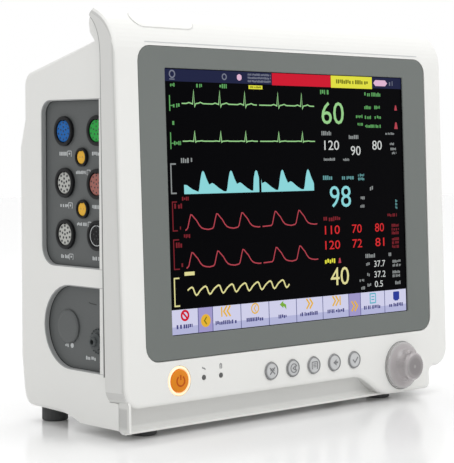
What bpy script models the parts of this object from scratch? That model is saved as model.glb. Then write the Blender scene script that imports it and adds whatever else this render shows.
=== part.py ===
"""Bedside patient monitor, built as the separate pieces that come apart on a bench.

Lengths are millimetres, and MM turns them into metres where a mesh is made. X points right as the
user sees the screen, Y points to the back and Z up. Two empties carry the pieces. body_frame lies
FLOOR_DROP above the floor, under the middle of the screen. face_frame lies in the front face, which
leans back: its origin is the middle of the screen, its x runs right, its y into the case and its z
up the face.
"""

from math import cos, pi, radians, sin, sqrt

import bmesh
import bpy

MM = 0.001
GAP = 0.3

# The whole case
SCREEN_Z = 159.5
FACE_LEAN = 2.45
ORIGIN_Y = 53.5
FLOOR_DROP = 2.0
FRONT_HALF = 169.2
REAR_HALF = 165.3
WALL = 3.0
CHIN_V = -139.5
CHIN_RIGHT_V = -139.2
CORNER_R = 14.5
EDGE_R = 3.0
SIDE_WALL = 3.4

# Plinth under the front face: its back, and the level its feet are seated at
PLINTH_BACK = 4.6
SEAT_Z = 4.8

# The front face runs down round the dial, between these two places
DRIP_LEFT = 97.0
DRIP_RIGHT = 147.0
DRIP_V = -156.4
DRIP_START = 58.0
DRIP_FILLET = 5.0

# The top of the front housing sweeps back into the handle
SWEEP_V = 99.0
SWEEP_PULL_V = 124.4
HANDLE_D = 22.8
HANDLE_V = 133.9
NOSE_D = 26.7
NOSE_V = 129.0

# Parting line of the two housings, as depth and height in the face frame
SEAM_LOW = (20.9, -160.0)
SEAM_BEND = (14.2, 101.5)
SEAM_PULL = (14.2, 121.6)
SEAM_TOP = (26.55, 129.3)

# Screen
ACTIVE_W = 245.8
ACTIVE_H = 184.3
FRAME_HALF_W = 148.4
FRAME_HALF_H = 108.2
FRAME_V = -1.0
FRAME_R = 11.0

# Controls on the front face, as x and height up the face
POWER_AT = (-119.6, -123.8)
POWER_R = 8.2
LAMP_SPOTS = {"mains_led": -96.9, "battery_led": -80.7}
LAMP_V = -123.7
LAMP_HOLE_R = 1.95
KEY_X = 13.0
KEY_PITCH = 22.15
KEY_V = -125.5
KEY_R = 6.5
KEY_COUNT = 5
DIAL_AT = (111.9, -134.8)
DIAL_R = 18.4

# Alarm lamp in the swept top: its ends, and how far round the sweep its long edges lie
ALARM_LEFT = -145.0
ALARM_RIGHT = -90.0
ALARM_SWEEP = (0.50, 0.88)
ALARM_R = 7.9
ALARM_PROUD = 0.5
ALARM_BELOW = 2.4

# Connector panels in the left side
PANEL_X = -161.2
PANEL_T = 2.5
RECESS_FRONT = 20.8
UPPER_RECESS = (RECESS_FRONT, 92.0, 113.5, 230.5)
LOWER_MID = (59.7, 71.2)
LOWER_R = 29.8
SOCKET_R = 10.5
SMALL_SOCKET_R = 6.6
SOCKETS = {
    "spo2_socket": (69.0, 208.5),
    "ecg_socket": (31.5, 208.7),
    "pressure_socket_1": (68.2, 172.3),
    "output_socket": (31.5, 172.0),
    "pressure_socket_2": (67.6, 136.1),
    "gas_socket": (31.5, 136.5),
}
SMALL_SOCKETS = {"temperature_socket_1": (48.6, 190.4), "temperature_socket_2": (47.7, 154.4)}
HOSE_AT = (31.0, 63.5)
COVER_AT = (65.4, 71.0)

# Rear housing seen from the side
UNDER_Z = 5.0
UPPER_BACK_Y = 114.3
BACK_Y = 120.2
BACK_EDGE_R = 5.0
TOE_Y = 3.4
TOE_TOP = 23.0

# Back wall
FAN_AT = (104.0, 132.0)
FAN_SIZE = 60.0
PLATE_Z = 150.0
PLATE_SIZE = 100.0
PLATE_HOLE_PITCH = 75.0
PORT_Z = 74.0
INLET_X = -112.0
EARTH_X = -70.0
USB_X = -18.0
NETWORK_X = 12.0
VIDEO_X = 52.0
SCREWS = ((-146.0, 60.0), (146.0, 60.0), (-146.0, 232.0), (146.0, 232.0))

# Battery door in the right side: y and z of its opening
DOOR = (31.0, 101.2, 40.0, 98.0)
DOOR_T = 2.6
HINGE_X = 164.0
HINGE_Y = 99.2
PIN_R = 0.6

# Feet: x, y, radius and height
FEET = {
    "foot_front_left": (-135.5, 14.5, 9.2, 6.5),
    "foot_front_right": (107.0, 14.5, 9.2, 6.5),
    "foot_rear_left": (-145.6, 104.0, 9.5, 11.1),
    "foot_rear_right": (145.6, 104.0, 9.5, 11.1),
}

for old in list(bpy.data.objects):
    bpy.data.objects.remove(old, do_unlink=True)


# ---------------------------------------------------------------- materials

def material(name, color, roughness, metallic=0.0):
    made = bpy.data.materials.new(name)
    made.use_nodes = True
    shader = made.node_tree.nodes["Principled BSDF"]
    shader.inputs["Base Color"].default_value = (*color, 1.0)
    shader.inputs["Roughness"].default_value = roughness
    shader.inputs["Metallic"].default_value = metallic
    return made


WHITE = material("white_plastic", (0.82, 0.82, 0.80), 0.42)
GREY = material("frame_grey", (0.17, 0.19, 0.18), 0.5)
PANEL_GREY = material("panel_grey", (0.10, 0.11, 0.11), 0.55)
SCREEN_BLACK = material("screen_black", (0.01, 0.01, 0.012), 0.15)
LAMP_WHITE = material("lamp_white", (0.85, 0.85, 0.83), 0.3)
ORANGE = material("power_orange", (0.85, 0.35, 0.03), 0.4)
CREAM = material("light_ring", (0.95, 0.85, 0.65), 0.35)
KEY_GREY = material("key_grey", (0.55, 0.56, 0.56), 0.35)
DIAL_GREY = material("dial_grey", (0.6, 0.59, 0.6), 0.25)
SMOKE = material("led_smoke", (0.12, 0.12, 0.12), 0.3)
RUBBER = material("black_rubber", (0.02, 0.02, 0.02), 0.8)
SOCKET_BLUE = material("socket_blue", (0.02, 0.16, 0.6), 0.4)
SOCKET_GREEN = material("socket_green", (0.02, 0.45, 0.08), 0.4)
SOCKET_WHITE = material("socket_white", (0.6, 0.6, 0.57), 0.4)
SOCKET_BROWN = material("socket_brown", (0.35, 0.12, 0.08), 0.4)
SOCKET_BLACK = material("socket_black", (0.015, 0.015, 0.016), 0.4)
SOCKET_YELLOW = material("socket_yellow", (0.75, 0.45, 0.03), 0.4)
STEEL = material("zinc_steel", (0.55, 0.55, 0.56), 0.4, 1.0)
BRASS = material("nickel_brass", (0.7, 0.66, 0.55), 0.3, 1.0)
BOARD = material("circuit_board", (0.02, 0.2, 0.07), 0.5)
BLACK = material("black_plastic", (0.02, 0.02, 0.022), 0.5)
PACK_GREY = material("pack_grey", (0.2, 0.21, 0.23), 0.5)


# ---------------------------------------------------------------- frames

def empty(name, location, parent=None, lean=0.0):
    made = bpy.data.objects.new(name, None)
    bpy.context.scene.collection.objects.link(made)
    made.location = [value * MM for value in location]
    made.rotation_euler.x = radians(lean)
    made.parent = parent
    return made


body_frame = empty("body_frame", (0.0, -ORIGIN_Y, FLOOR_DROP))
face_frame = empty("face_frame", (0.0, 0.0, SCREEN_Z), body_frame, -FACE_LEAN)


# ---------------------------------------------------------------- outlines

def arc(x, y, radius, start, end, steps):
    """Points from start to end, in degrees, round (x, y)."""
    turns = [radians(start + (end - start) * k / steps) for k in range(steps + 1)]
    return [(x + radius * cos(turn), y + radius * sin(turn)) for turn in turns]


def circle(x, y, radius, steps):
    return arc(x, y, radius, 0.0, 360.0, steps)[:-1]


def rounded(x, y, half_w, half_h, radius, steps=5):
    """A rectangle with round corners, from its lower right corner round to the left."""
    w = half_w - radius
    h = half_h - radius
    corners = ((w, -h, -90.0), (w, h, 0.0), (-w, h, 90.0), (-w, -h, 180.0))
    points = []
    for dx, dy, start in corners:
        points += arc(x + dx, y + dy, radius, start, start + 90.0, steps)
    return points


def rectangle(x0, x1, y0, y1):
    return [(x0, y0), (x1, y0), (x1, y1), (x0, y1)]


def bezier(start, pull, end, steps):
    """Points after start, up to end, of a quadratic curve."""
    points = []
    for k in range(1, steps + 1):
        t = k / steps
        weights = ((1 - t) ** 2, 2 * t * (1 - t), t * t)
        points.append(tuple(sum(w * p[i] for w, p in zip(weights, (start, pull, end))) for i in (0, 1)))
    return points


# ---------------------------------------------------------------- solids

def spot(axis, a, b, along):
    """A point with (a, b) across the axis and along it: X takes (y, z), Y (x, z) and Z (x, y)."""
    if axis == "X":
        return (along, a, b)
    if axis == "Y":
        return (a, along, b)
    return (a, b, along)


def loft(bm, rings, ring_shaped=False):
    """A skin over rings of equal length: closed to a ring, or capped at both ends."""
    made = [[bm.verts.new(point) for point in ring] for ring in rings]
    pairs = list(zip(made, made[1:]))
    if ring_shaped:
        pairs.append((made[-1], made[0]))
    else:
        bm.faces.new(made[0])
        bm.faces.new(made[-1])
    for low, high in pairs:
        for k, corner in enumerate(low):
            after = (k + 1) % len(low)
            bm.faces.new((corner, low[after], high[after], high[k]))


def prism(bm, axis, outline, low, high):
    loft(bm, [[spot(axis, a, b, along) for a, b in outline] for along in (low, high)])


def box(bm, x0, x1, y0, y1, z0, z1):
    prism(bm, "Z", rectangle(x0, x1, y0, y1), z0, z1)


def lathe(bm, axis, profile, steps, at=(0.0, 0.0)):
    """A turned solid: profile lists (radius, place along the axis) once round its section."""
    rings = []
    for radius, along in profile:
        count = steps if radius > 0 else 1
        turns = [2 * pi * k / steps for k in range(count)]
        rings.append([
            bm.verts.new(spot(axis, at[0] + radius * cos(turn), at[1] + radius * sin(turn), along))
            for turn in turns
        ])
    for ring, after in zip(rings, rings[1:] + rings[:1]):
        if len(ring) == 1 and len(after) == 1:
            continue
        for k in range(steps):
            corners = (
                ring[k % len(ring)],
                ring[(k + 1) % len(ring)],
                after[(k + 1) % len(after)],
                after[k % len(after)],
            )
            bm.faces.new(list(dict.fromkeys(corners)))


def solid(name, bm, finish, parent, at=(0.0, 0.0, 0.0), smooth=None):
    """Makes the object of a mesh drawn in millimetres round its own origin."""
    bmesh.ops.recalc_face_normals(bm, faces=bm.faces[:])
    bmesh.ops.scale(bm, vec=(MM, MM, MM), verts=bm.verts[:])
    mesh = bpy.data.meshes.new(name)
    bm.to_mesh(mesh)
    bm.free()
    if smooth:
        mesh.shade_smooth()
        mesh.set_sharp_from_angle(angle=radians(smooth))
    made = bpy.data.objects.new(name, mesh)
    bpy.context.scene.collection.objects.link(made)
    made.location = [value * MM for value in at]
    made.parent = parent
    if finish:
        mesh.materials.append(finish)
    return made


def tool(name, bm, parent):
    """A cutter or a joined piece, left out of the assembly."""
    made = solid(name, bm, None, parent)
    made.hide_render = True
    made.display_type = "WIRE"
    return made


def shape(target, operation, other):
    change = target.modifiers.new(other.name, "BOOLEAN")
    change.operation = operation
    change.object = other
    change.solver = "EXACT"


def cut(target, other):
    shape(target, "DIFFERENCE", other)


# ---------------------------------------------------------------- front housing

def front_outline(grow, top):
    """The front housing seen from the front, grow outside its true edge, as (x, v) points."""
    half = FRONT_HALF + grow
    radius = CORNER_R + grow
    middle_x = FRONT_HALF - CORNER_R
    middle_v = CHIN_V + CORNER_R
    fall = DRIP_V - CHIN_V
    steps = 10
    points = arc(-middle_x, middle_v, radius, 180.0, 270.0, 8)
    for k in range(steps + 1):
        share = k / steps
        x = DRIP_START + (DRIP_LEFT - DRIP_START) * share - grow * sin(pi * share / 2)
        points.append((x, CHIN_V - grow + fall * (1 - cos(pi * share)) / 2))
    points += arc(DRIP_RIGHT + grow - 4.0, DRIP_V - grow + 4.0, 4.0, 270.0, 360.0, 3)
    fillet_at = (DRIP_RIGHT + DRIP_FILLET, CHIN_RIGHT_V - DRIP_FILLET)
    points += arc(*fillet_at, DRIP_FILLET - grow, 180.0, 90.0, 4)
    points += arc(middle_x, CHIN_RIGHT_V + CORNER_R, radius, 276.0, 360.0, 8)
    points += arc(half - 4.0, top - 4.0, 4.0, 0.0, 90.0, 3)
    points += arc(-half + 4.0, top - 4.0, 4.0, 90.0, 180.0, 3)
    return points


def sweep(t):
    """Depth and height of the swept top, t running from 0 on the face to 1 at the handle."""
    depth = HANDLE_D * t * t
    return depth, (1 - t) ** 2 * SWEEP_V + 2 * t * (1 - t) * SWEEP_PULL_V + t * t * HANDLE_V


def top_at(depth):
    if depth <= HANDLE_D:
        return sweep(sqrt(depth / HANDLE_D))[1]
    share = (depth - HANDLE_D) / (NOSE_D - HANDLE_D)
    return HANDLE_V - (HANDLE_V - NOSE_V) * share**2


def seam(offset):
    """The parting line from its low end to the handle, moved offset to the back."""
    points = [SEAM_LOW, SEAM_BEND] + bezier(SEAM_BEND, SEAM_PULL, SEAM_TOP, 8)
    return [(depth + offset, height) for depth, height in points]


def make_front_housing():
    depths = [0.0, 0.4, 1.1, 2.0, 3.0, 4.6, 6.6, 9.2, 12.6, 16.8, HANDLE_D, 25.0, NOSE_D]
    bm = bmesh.new()
    rings = []
    for depth in depths:
        inset = EDGE_R - sqrt(EDGE_R**2 - (EDGE_R - depth) ** 2) if depth < EDGE_R else 0.0
        outline = front_outline(-inset, top_at(depth))
        rings.append([(x, depth, v) for x, v in outline])
    loft(bm, rings)
    housing = solid("front_housing", bm, WHITE, face_frame, smooth=35)

    bm = bmesh.new()
    plinth = [(PLINTH_BACK, 26.5), (-1.9, 26.5), (-2.4, 20.4)]
    plinth += bezier((-2.4, 20.4), (3.6, 15.6), (2.8, 7.8), 6)
    plinth += bezier((2.8, 7.8), (2.4, 5.6), (-1.6, 4.5), 4)
    plinth += [(-2.3, 3.7), (-1.9, 3.0), (0.8, 3.0), (4.4, SEAT_Z), (PLINTH_BACK, SEAT_Z)]
    prism(bm, "X", plinth, -REAR_HALF, 120.0)
    shape(housing, "UNION", tool("plinth_tool", bm, body_frame))
    bm = bmesh.new()
    cap = [(-1.5, 26.5), (-4.8, 25.2), (-5.9, 23.0), (-6.5, SEAT_Z)]
    cap += [(PLINTH_BACK, SEAT_Z), (PLINTH_BACK, 26.5)]
    prism(bm, "X", cap, -REAR_HALF, -REAR_HALF + 2.0)
    shape(housing, "UNION", tool("plinth_cap", bm, body_frame))

    bm = bmesh.new()
    prism(bm, "X", seam(0.0) + [(34.6, 133.4), (60.0, 133.4), (60.0, -160.0)], -180.0, 180.0)
    cut(housing, tool("seam_tool", bm, face_frame))

    bm = bmesh.new()
    inner = [(WALL, CHIN_V + WALL), (WALL, 111.0)]
    inner += bezier((WALL, 111.0), (5.5, 120.5), (18.5, 126.2), 6)
    inner += [(40.0, 126.2), (40.0, CHIN_V + WALL)]
    prism(bm, "X", inner, -FRONT_HALF + SIDE_WALL, FRONT_HALF - SIDE_WALL)
    hollow = tool("front_hollow", bm, face_frame)
    bm = bmesh.new()
    half = FRONT_HALF - SIDE_WALL
    prism(bm, "Y", rounded(0.0, 10.0, half, 147.4, CORNER_R - SIDE_WALL), -5.0, 45.0)
    shape(hollow, "INTERSECT", tool("front_hollow_corners", bm, face_frame))
    cut(housing, hollow)

    bm = bmesh.new()
    prism(bm, "Y", rounded(0.0, FRAME_V, FRAME_HALF_W + GAP, FRAME_HALF_H + GAP, FRAME_R + GAP), -4.0, 8.0)
    prism(bm, "Y", circle(*POWER_AT, POWER_R + 2.4, 24), -4.0, 8.0)
    for x in LAMP_SPOTS.values():
        prism(bm, "Y", circle(x, LAMP_V, LAMP_HOLE_R, 14), -4.0, 8.0)
    for k in range(KEY_COUNT):
        prism(bm, "Y", circle(key_x(k), KEY_V, KEY_R + GAP, 16), -4.0, 8.0)
    lathe(bm, "Y", [(0, -4), (5, -4), (5, 3), (11, 3), (11, 30), (0, 30)], 20, DIAL_AT)
    box(bm, -153.0, 85.0, 10.5, 40.0, -152.5, CHIN_V - 1.5)
    cut(housing, tool("front_openings", bm, face_frame))
    bm = bmesh.new()
    x, y, radius, _ = FEET["foot_front_right"]
    prism(bm, "Z", circle(x, y, radius + GAP, 20), -FLOOR_DROP, SEAT_Z)
    cut(housing, tool("foot_seat", bm, body_frame))

    cut(housing, alarm_outline("alarm_opening", 0.4, -5.0))


def key_x(index):
    return KEY_X + (index - (KEY_COUNT - 1) / 2) * KEY_PITCH


# ---------------------------------------------------------------- alarm lamp

def alarm_outline(name, grow, depth_below):
    """A block with the lamp's oblong outline, standing square to the swept top."""
    low = sweep(ALARM_SWEEP[0])
    high = sweep(ALARM_SWEEP[1])
    run = (high[0] - low[0], high[1] - low[1])
    length = sqrt(run[0] ** 2 + run[1] ** 2)
    along = (run[0] / length, run[1] / length)
    out = (-along[1], along[0])
    middle = ((low[0] + high[0]) / 2, (low[1] + high[1]) / 2)
    half_w = (ALARM_RIGHT - ALARM_LEFT) / 2 + grow
    outline = rounded(0.0, 0.0, half_w, length / 2 + grow, min(length / 2 + grow - 0.1, ALARM_R), 5)
    rings = []
    for height in (depth_below, 12.0):
        rings.append([
            (
                (ALARM_LEFT + ALARM_RIGHT) / 2 + x,
                middle[0] + along[0] * s + out[0] * height,
                middle[1] + along[1] * s + out[1] * height,
            )
            for x, s in outline
        ])
    bm = bmesh.new()
    loft(bm, rings)
    return tool(name, bm, face_frame)


def make_alarm_lamp():
    count = 10
    start = ALARM_SWEEP[0] - 0.12
    end = ALARM_SWEEP[1] + 0.1
    outside = []
    inside = []
    for k in range(count + 1):
        t = start + (end - start) * k / count
        depth, height = sweep(t)
        run = (HANDLE_D * t, (1 - t) * (SWEEP_PULL_V - SWEEP_V) + t * (HANDLE_V - SWEEP_PULL_V))
        length = sqrt(run[0] ** 2 + run[1] ** 2)
        out = (-run[1] / length, run[0] / length)
        outside.append((depth + out[0] * ALARM_PROUD, height + out[1] * ALARM_PROUD))
        inside.append((depth - out[0] * ALARM_BELOW, height - out[1] * ALARM_BELOW))
    bm = bmesh.new()
    prism(bm, "X", outside + inside[::-1], -160.0, -70.0)
    lens = solid("alarm_lamp_lens", bm, LAMP_WHITE, face_frame, smooth=35)
    shape(lens, "INTERSECT", alarm_outline("lens_outline", 0.0, -8.0))

    bm = bmesh.new()
    prism(bm, "X", [(10.5, 104.0), (12.1, 104.0), (12.1, 114.0), (10.5, 114.0)], -140.0, -95.0)
    solid("alarm_lamp_board", bm, BOARD, face_frame)


# ---------------------------------------------------------------- screen

def make_screen():
    def ring(half_w, half_h, radius, depth, middle=0.0):
        return [(x, depth, v) for x, v in rounded(0.0, middle, half_w, half_h, radius, 6)]

    window_w = ACTIVE_W / 2 + 0.5
    window_h = ACTIVE_H / 2 + 0.5
    bm = bmesh.new()
    loft(bm, [
        ring(FRAME_HALF_W, FRAME_HALF_H, FRAME_R, 0.9, FRAME_V),
        ring(FRAME_HALF_W - 0.6, FRAME_HALF_H - 0.6, FRAME_R - 0.6, 0.4, FRAME_V),
        ring(window_w + 0.5, window_h + 0.5, 1.5, 1.3),
        ring(window_w, window_h, 1.0, 1.7),
        ring(window_w, window_h, 1.0, 2.3),
        ring(window_w + 4.0, window_h + 4.0, 1.0, 2.3),
        ring(window_w + 4.0, window_h + 4.0, 1.0, 4.6),
        ring(FRAME_HALF_W + 3.0, FRAME_HALF_H + 3.0, FRAME_R, 4.6, FRAME_V),
        ring(FRAME_HALF_W + 3.0, FRAME_HALF_H + 3.0, FRAME_R, 3.3, FRAME_V),
        ring(FRAME_HALF_W, FRAME_HALF_H, FRAME_R, 3.3, FRAME_V),
    ], ring_shaped=True)
    solid("screen_frame", bm, GREY, face_frame, smooth=30)

    bm = bmesh.new()
    prism(bm, "Y", rectangle(-window_w - 3.6, window_w + 3.6, -window_h - 3.6, window_h + 3.6), 2.6, 3.7)
    solid("screen_glass", bm, SCREEN_BLACK, face_frame)

    bm = bmesh.new()
    loft(bm, [
        ring(window_w + 3.4, window_h + 3.4, 0.8, 4.0),
        ring(window_w + 0.4, window_h + 0.4, 0.8, 4.0),
        ring(window_w + 0.4, window_h + 0.4, 0.8, 4.6),
        ring(window_w + 3.4, window_h + 3.4, 0.8, 4.6),
    ], ring_shaped=True)
    solid("screen_gasket", bm, RUBBER, face_frame)

    bm = bmesh.new()
    prism(bm, "Y", rectangle(-139.5, 139.5, -102.0, 102.0), 4.9, 11.9)
    solid("lcd_panel", bm, STEEL, face_frame)

    bm = bmesh.new()
    loft(bm, [
        ring(144.0, 99.0, 4.0, 12.3),
        ring(112.0, 78.0, 4.0, 12.3),
        ring(112.0, 78.0, 4.0, 13.5),
        ring(144.0, 99.0, 4.0, 13.5),
    ], ring_shaped=True)
    solid("lcd_bracket", bm, STEEL, face_frame)


# ---------------------------------------------------------------- front controls

def make_buttons():
    at = (POWER_AT[0], 0.0, POWER_AT[1])
    bm = bmesh.new()
    button = [(0, -1.5), (4.5, -1.4), (7.3, -1.0), (POWER_R - 0.2, -0.4), (POWER_R - 0.2, 4.2)]
    button += [(POWER_R + 1.2, 4.2), (POWER_R + 1.2, 5.2), (2.0, 5.2), (2.0, 6.4), (0, 6.4)]
    lathe(bm, "Y", button, 24)
    solid("power_button", bm, ORANGE, face_frame, at, smooth=35)

    bm = bmesh.new()
    lathe(bm, "Y", [(8.4, 0.1), (8.9, -0.5), (9.8, -0.3), (10.3, 0.4), (10.3, 3.6), (8.4, 3.6)], 24)
    solid("power_button_ring", bm, CREAM, face_frame, at, smooth=35)

    for index in range(KEY_COUNT):
        bm = bmesh.new()
        key = [(0, -1.5), (4.8, -1.4), (KEY_R, -0.5), (KEY_R, 3.4)]
        key += [(KEY_R + 1.4, 3.4), (KEY_R + 1.4, 4.4), (1.8, 4.4), (1.8, 6.2), (0, 6.2)]
        lathe(bm, "Y", key, 16)
        solid(f"function_key_{index + 1}", bm, KEY_GREY, face_frame, (key_x(index), 0.0, KEY_V), smooth=35)

    for name, x in LAMP_SPOTS.items():
        bm = bmesh.new()
        lamp = [(0, -0.3), (1.1, -0.2), (1.6, 0.1), (1.6, 3.3), (2.6, 3.3), (2.6, 7.4), (0, 7.4)]
        lathe(bm, "Y", lamp, 12)
        solid(name, bm, SMOKE, face_frame, (x, 0.0, LAMP_V), smooth=35)

    bm = bmesh.new()
    prism(bm, "Y", rectangle(-134.0, 70.0, -133.5, -114.0), 7.8, 9.4)
    solid("key_board", bm, BOARD, face_frame)


def make_dial():
    at = (DIAL_AT[0], 0.0, DIAL_AT[1])
    bm = bmesh.new()
    dial = [(3.3, -0.8), (DIAL_R - 0.6, -0.8), (DIAL_R, -1.4), (DIAL_R, -2.4), (DIAL_R - 0.8, -3.2)]
    dial += [(14.0, -4.0), (12.4, -4.7), (11.5, -6.4), (11.0, -12.4), (10.4, -13.9), (9.0, -14.8)]
    dial += [(5.0, -14.4), (0, -14.2), (0, -11.0), (3.3, -11.0)]
    lathe(bm, "Y", dial, 32)
    solid("dial", bm, DIAL_GREY, face_frame, at, smooth=32)

    bm = bmesh.new()
    lathe(bm, "Y", [(0, -10.5), (3.0, -10.5), (3.0, 9.0), (0, 9.0)], 16)
    solid("dial_shaft", bm, STEEL, face_frame, at, smooth=35)

    bm = bmesh.new()
    encoder = [(3.4, 0.6), (4.6, 0.6), (4.6, 3.4), (8.0, 3.4), (8.0, 12.5), (0, 12.5), (0, 10.5)]
    encoder += [(3.4, 10.5)]
    lathe(bm, "Y", encoder, 20)
    solid("dial_encoder", bm, STEEL, face_frame, at, smooth=35)


# ---------------------------------------------------------------- rear housing

def to_body(depth, height):
    """A point of the face frame as (y, z) of the body frame."""
    lean = radians(FACE_LEAN)
    return depth * cos(lean) + height * sin(lean), SCREEN_Z - depth * sin(lean) + height * cos(lean)


def rear_profile(inset):
    """The rear housing seen from the side, as (y, z): up the parting line and round the back.

    The roof, the back and the underside lie inset inside their true lines, to round the side edges.
    """
    front = [to_body(*point) for point in seam(GAP)]
    front[0] = (front[0][0], UNDER_Z)
    lip = [(35.3, 285.5), (35.7, 282.0), (34.9, 276.0), (32.4, 273.2), (29.3, 270.7 - 0.3 * inset)]
    upper_y = UPPER_BACK_Y - inset
    roof_z = 252.4 - 0.5 * inset
    roof = [(52.5, 265.1 - 0.5 * inset)]
    roof += bezier((104.8 - inset, roof_z), (upper_y, roof_z - 2.0), (upper_y, roof_z - 10.0), 4)
    back = [(upper_y, 217.0), (BACK_Y - inset, 197.0), (BACK_Y - inset, 46.0)]
    toe_z = 9.8 + 0.7 * inset
    back += bezier((117.8 - inset, 28.0), (117.0 - inset, toe_z), (107.5 - 0.4 * inset, toe_z), 5)
    underside = [(88.0, 9.4 + 0.7 * inset), (70.0, 8.9 + 0.6 * inset), (62.0, 8.1 + 0.4 * inset)]
    underside += [(55.0, 6.6 + 0.2 * inset), (48.0, UNDER_Z)]
    return front + lip + roof + back + underside


def make_rear_housing():
    bm = bmesh.new()
    steps = 3
    rings = []
    for k in range(steps + 1):
        turn = pi / 2 * (1 - k / steps)
        x = REAR_HALF - BACK_EDGE_R * (1 - sin(turn))
        rings.append([(x, y, z) for y, z in rear_profile(BACK_EDGE_R * (1 - cos(turn)))])
    rings += [[(-x, y, z) for x, y, z in ring] for ring in rings[::-1]]
    loft(bm, rings)
    housing = solid("rear_housing", bm, WHITE, body_frame, smooth=35)

    bm = bmesh.new()
    toe_side = [(TOE_Y, UNDER_Z), (18.0, UNDER_Z), (18.0, 34.0), (16.0, 34.0)]
    toe_side += bezier((16.0, 34.0), (14.6, 24.0), (TOE_Y, TOE_TOP), 5)
    prism(bm, "X", toe_side, -REAR_HALF, REAR_HALF)
    toe = tool("toe_tool", bm, body_frame)
    bm = bmesh.new()
    prism(bm, "Y", front_outline(GAP, 120.0), -20.0, 21.6)
    cut(toe, tool("toe_outline", bm, face_frame))
    bm = bmesh.new()
    box(bm, -180.0, DRIP_RIGHT, -10.0, PLINTH_BACK + GAP, 0.0, 27.0)
    cut(toe, tool("toe_plinth", bm, body_frame))
    shape(housing, "UNION", toe)
    bm = bmesh.new()
    prism(bm, "Z", [(147.0, 2.0), (147.0, -9.0), (180.0, -9.0), (180.0, 23.0), (166.0, 23.0)], -9.0, 22.0)
    cut(housing, tool("corner_chamfer", bm, body_frame))

    bm = bmesh.new()
    hollow = [(8.0, 8.2), (47.0, 8.2), (61.0, 12.0), (104.0, 13.8), (112.6, 20.0), (114.2, 31.0)]
    hollow += [(BACK_Y - WALL, 47.0), (BACK_Y - WALL, 196.0), (UPPER_BACK_Y - WALL, 216.0)]
    hollow += [(UPPER_BACK_Y - WALL, 240.0), (103.0, 248.0), (52.0, 260.6), (24.0, 266.6), (8.0, 266.6)]
    inner = REAR_HALF - WALL
    prism(bm, "X", hollow, -inner, inner)
    inside = tool("rear_hollow", bm, body_frame)
    bm = bmesh.new()
    box(bm, -62.0, 62.0, 18.9, 63.5, 233.0, 300.0)
    cut(inside, tool("grip_walls", bm, body_frame))
    bm = bmesh.new()
    prism(bm, "Z", [(142.6, 2.0), (142.6, -9.0), (180.0, -9.0), (180.0, 27.8), (166.0, 27.8)], -9.0, 25.0)
    cut(inside, tool("chamfer_walls", bm, body_frame))
    cut(housing, inside)

    bm = bmesh.new()
    grip = [(22.0, 236.0), (60.5, 236.0), (60.5, 286.0), (38.6, 286.0), (36.4, 281.0), (35.5, 275.5)]
    grip += [(32.8, 272.0), (29.4, 269.4), (22.0, 266.5)]
    prism(bm, "X", grip, -59.0, 59.0)
    cut(housing, tool("grip_pocket", bm, body_frame))

    bm = bmesh.new()
    prism(bm, "X", upper_recess(0.0), -180.0, -150.0)
    prism(bm, "X", lower_recess(0.0), -180.0, -150.0)
    cut(housing, tool("side_openings", bm, body_frame))

    bm = bmesh.new()
    y0, y1, z0, z1 = DOOR
    prism(bm, "X", rectangle(y0, y1, z0, z1), 155.0, 180.0)
    for k in range(9):
        prism(bm, "X", rounded(62.0, 136.0 + 8.0 * k, 28.0, 1.6, 1.5, 2), 155.0, 180.0)
    cut(housing, tool("right_openings", bm, body_frame))
    bm = bmesh.new()
    prism(bm, "Z", circle(HINGE_X, HINGE_Y, PIN_R + 0.15, 10), z0 - 3.6, z1 + 3.6)
    cut(housing, tool("pin_sockets", bm, body_frame))

    bm = bmesh.new()
    half = FAN_SIZE / 2 - 3.0
    for k in range(-4, 5):
        height = 6.2 * k
        reach = sqrt(half**2 - height**2)
        prism(bm, "Y", rounded(FAN_AT[0], FAN_AT[1] + height, reach, 1.8, 1.7, 2), 100.0, 125.0)
    for x, z in plate_holes():
        prism(bm, "Y", circle(x, z, 2.6, 12), 100.0, 125.0)
    for x, z in SCREWS:
        prism(bm, "Y", circle(x, z, 2.3, 12), 95.0, 125.0)
    prism(bm, "Y", rounded(INLET_X, PORT_Z, 24.0, 14.0, 2.0, 2), 100.0, 125.0)
    prism(bm, "Y", circle(EARTH_X, PORT_Z, 3.4, 16), 100.0, 125.0)
    prism(bm, "Y", rectangle(USB_X - 8.0, USB_X + 8.0, PORT_Z - 9.0, PORT_Z + 9.0), 100.0, 125.0)
    prism(bm, "Y", rectangle(NETWORK_X - 9.0, NETWORK_X + 9.0, PORT_Z - 8.0, PORT_Z + 8.0), 100.0, 125.0)
    prism(bm, "Y", rectangle(VIDEO_X - 10.0, VIDEO_X + 10.0, PORT_Z - 5.6, PORT_Z + 5.6), 100.0, 125.0)
    cut(housing, tool("back_openings", bm, body_frame))


def plate_holes():
    half = PLATE_HOLE_PITCH / 2
    return [(x, PLATE_Z + z) for x in (-half, half) for z in (-half, half)]


# ---------------------------------------------------------------- side panels

def upper_recess(grow):
    y0, y1, z0, z1 = UPPER_RECESS
    low = 14.0
    high = 10.0
    points = [(y0 - grow, z0 - grow)]
    points += arc(y1 - low, z0 + low, low + grow, 270.0, 360.0, 6)
    points += arc(y1 - high, z1 - high, high + grow, 0.0, 90.0, 6)
    return points + [(y0 - grow, z1 + grow)]


def lower_recess(grow):
    points = [(RECESS_FRONT - grow, LOWER_MID[1] - LOWER_R - grow)]
    points += arc(*LOWER_MID, LOWER_R + grow, 270.0, 450.0, 16)
    return points + [(RECESS_FRONT - grow, LOWER_MID[1] + LOWER_R + grow)]


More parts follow.
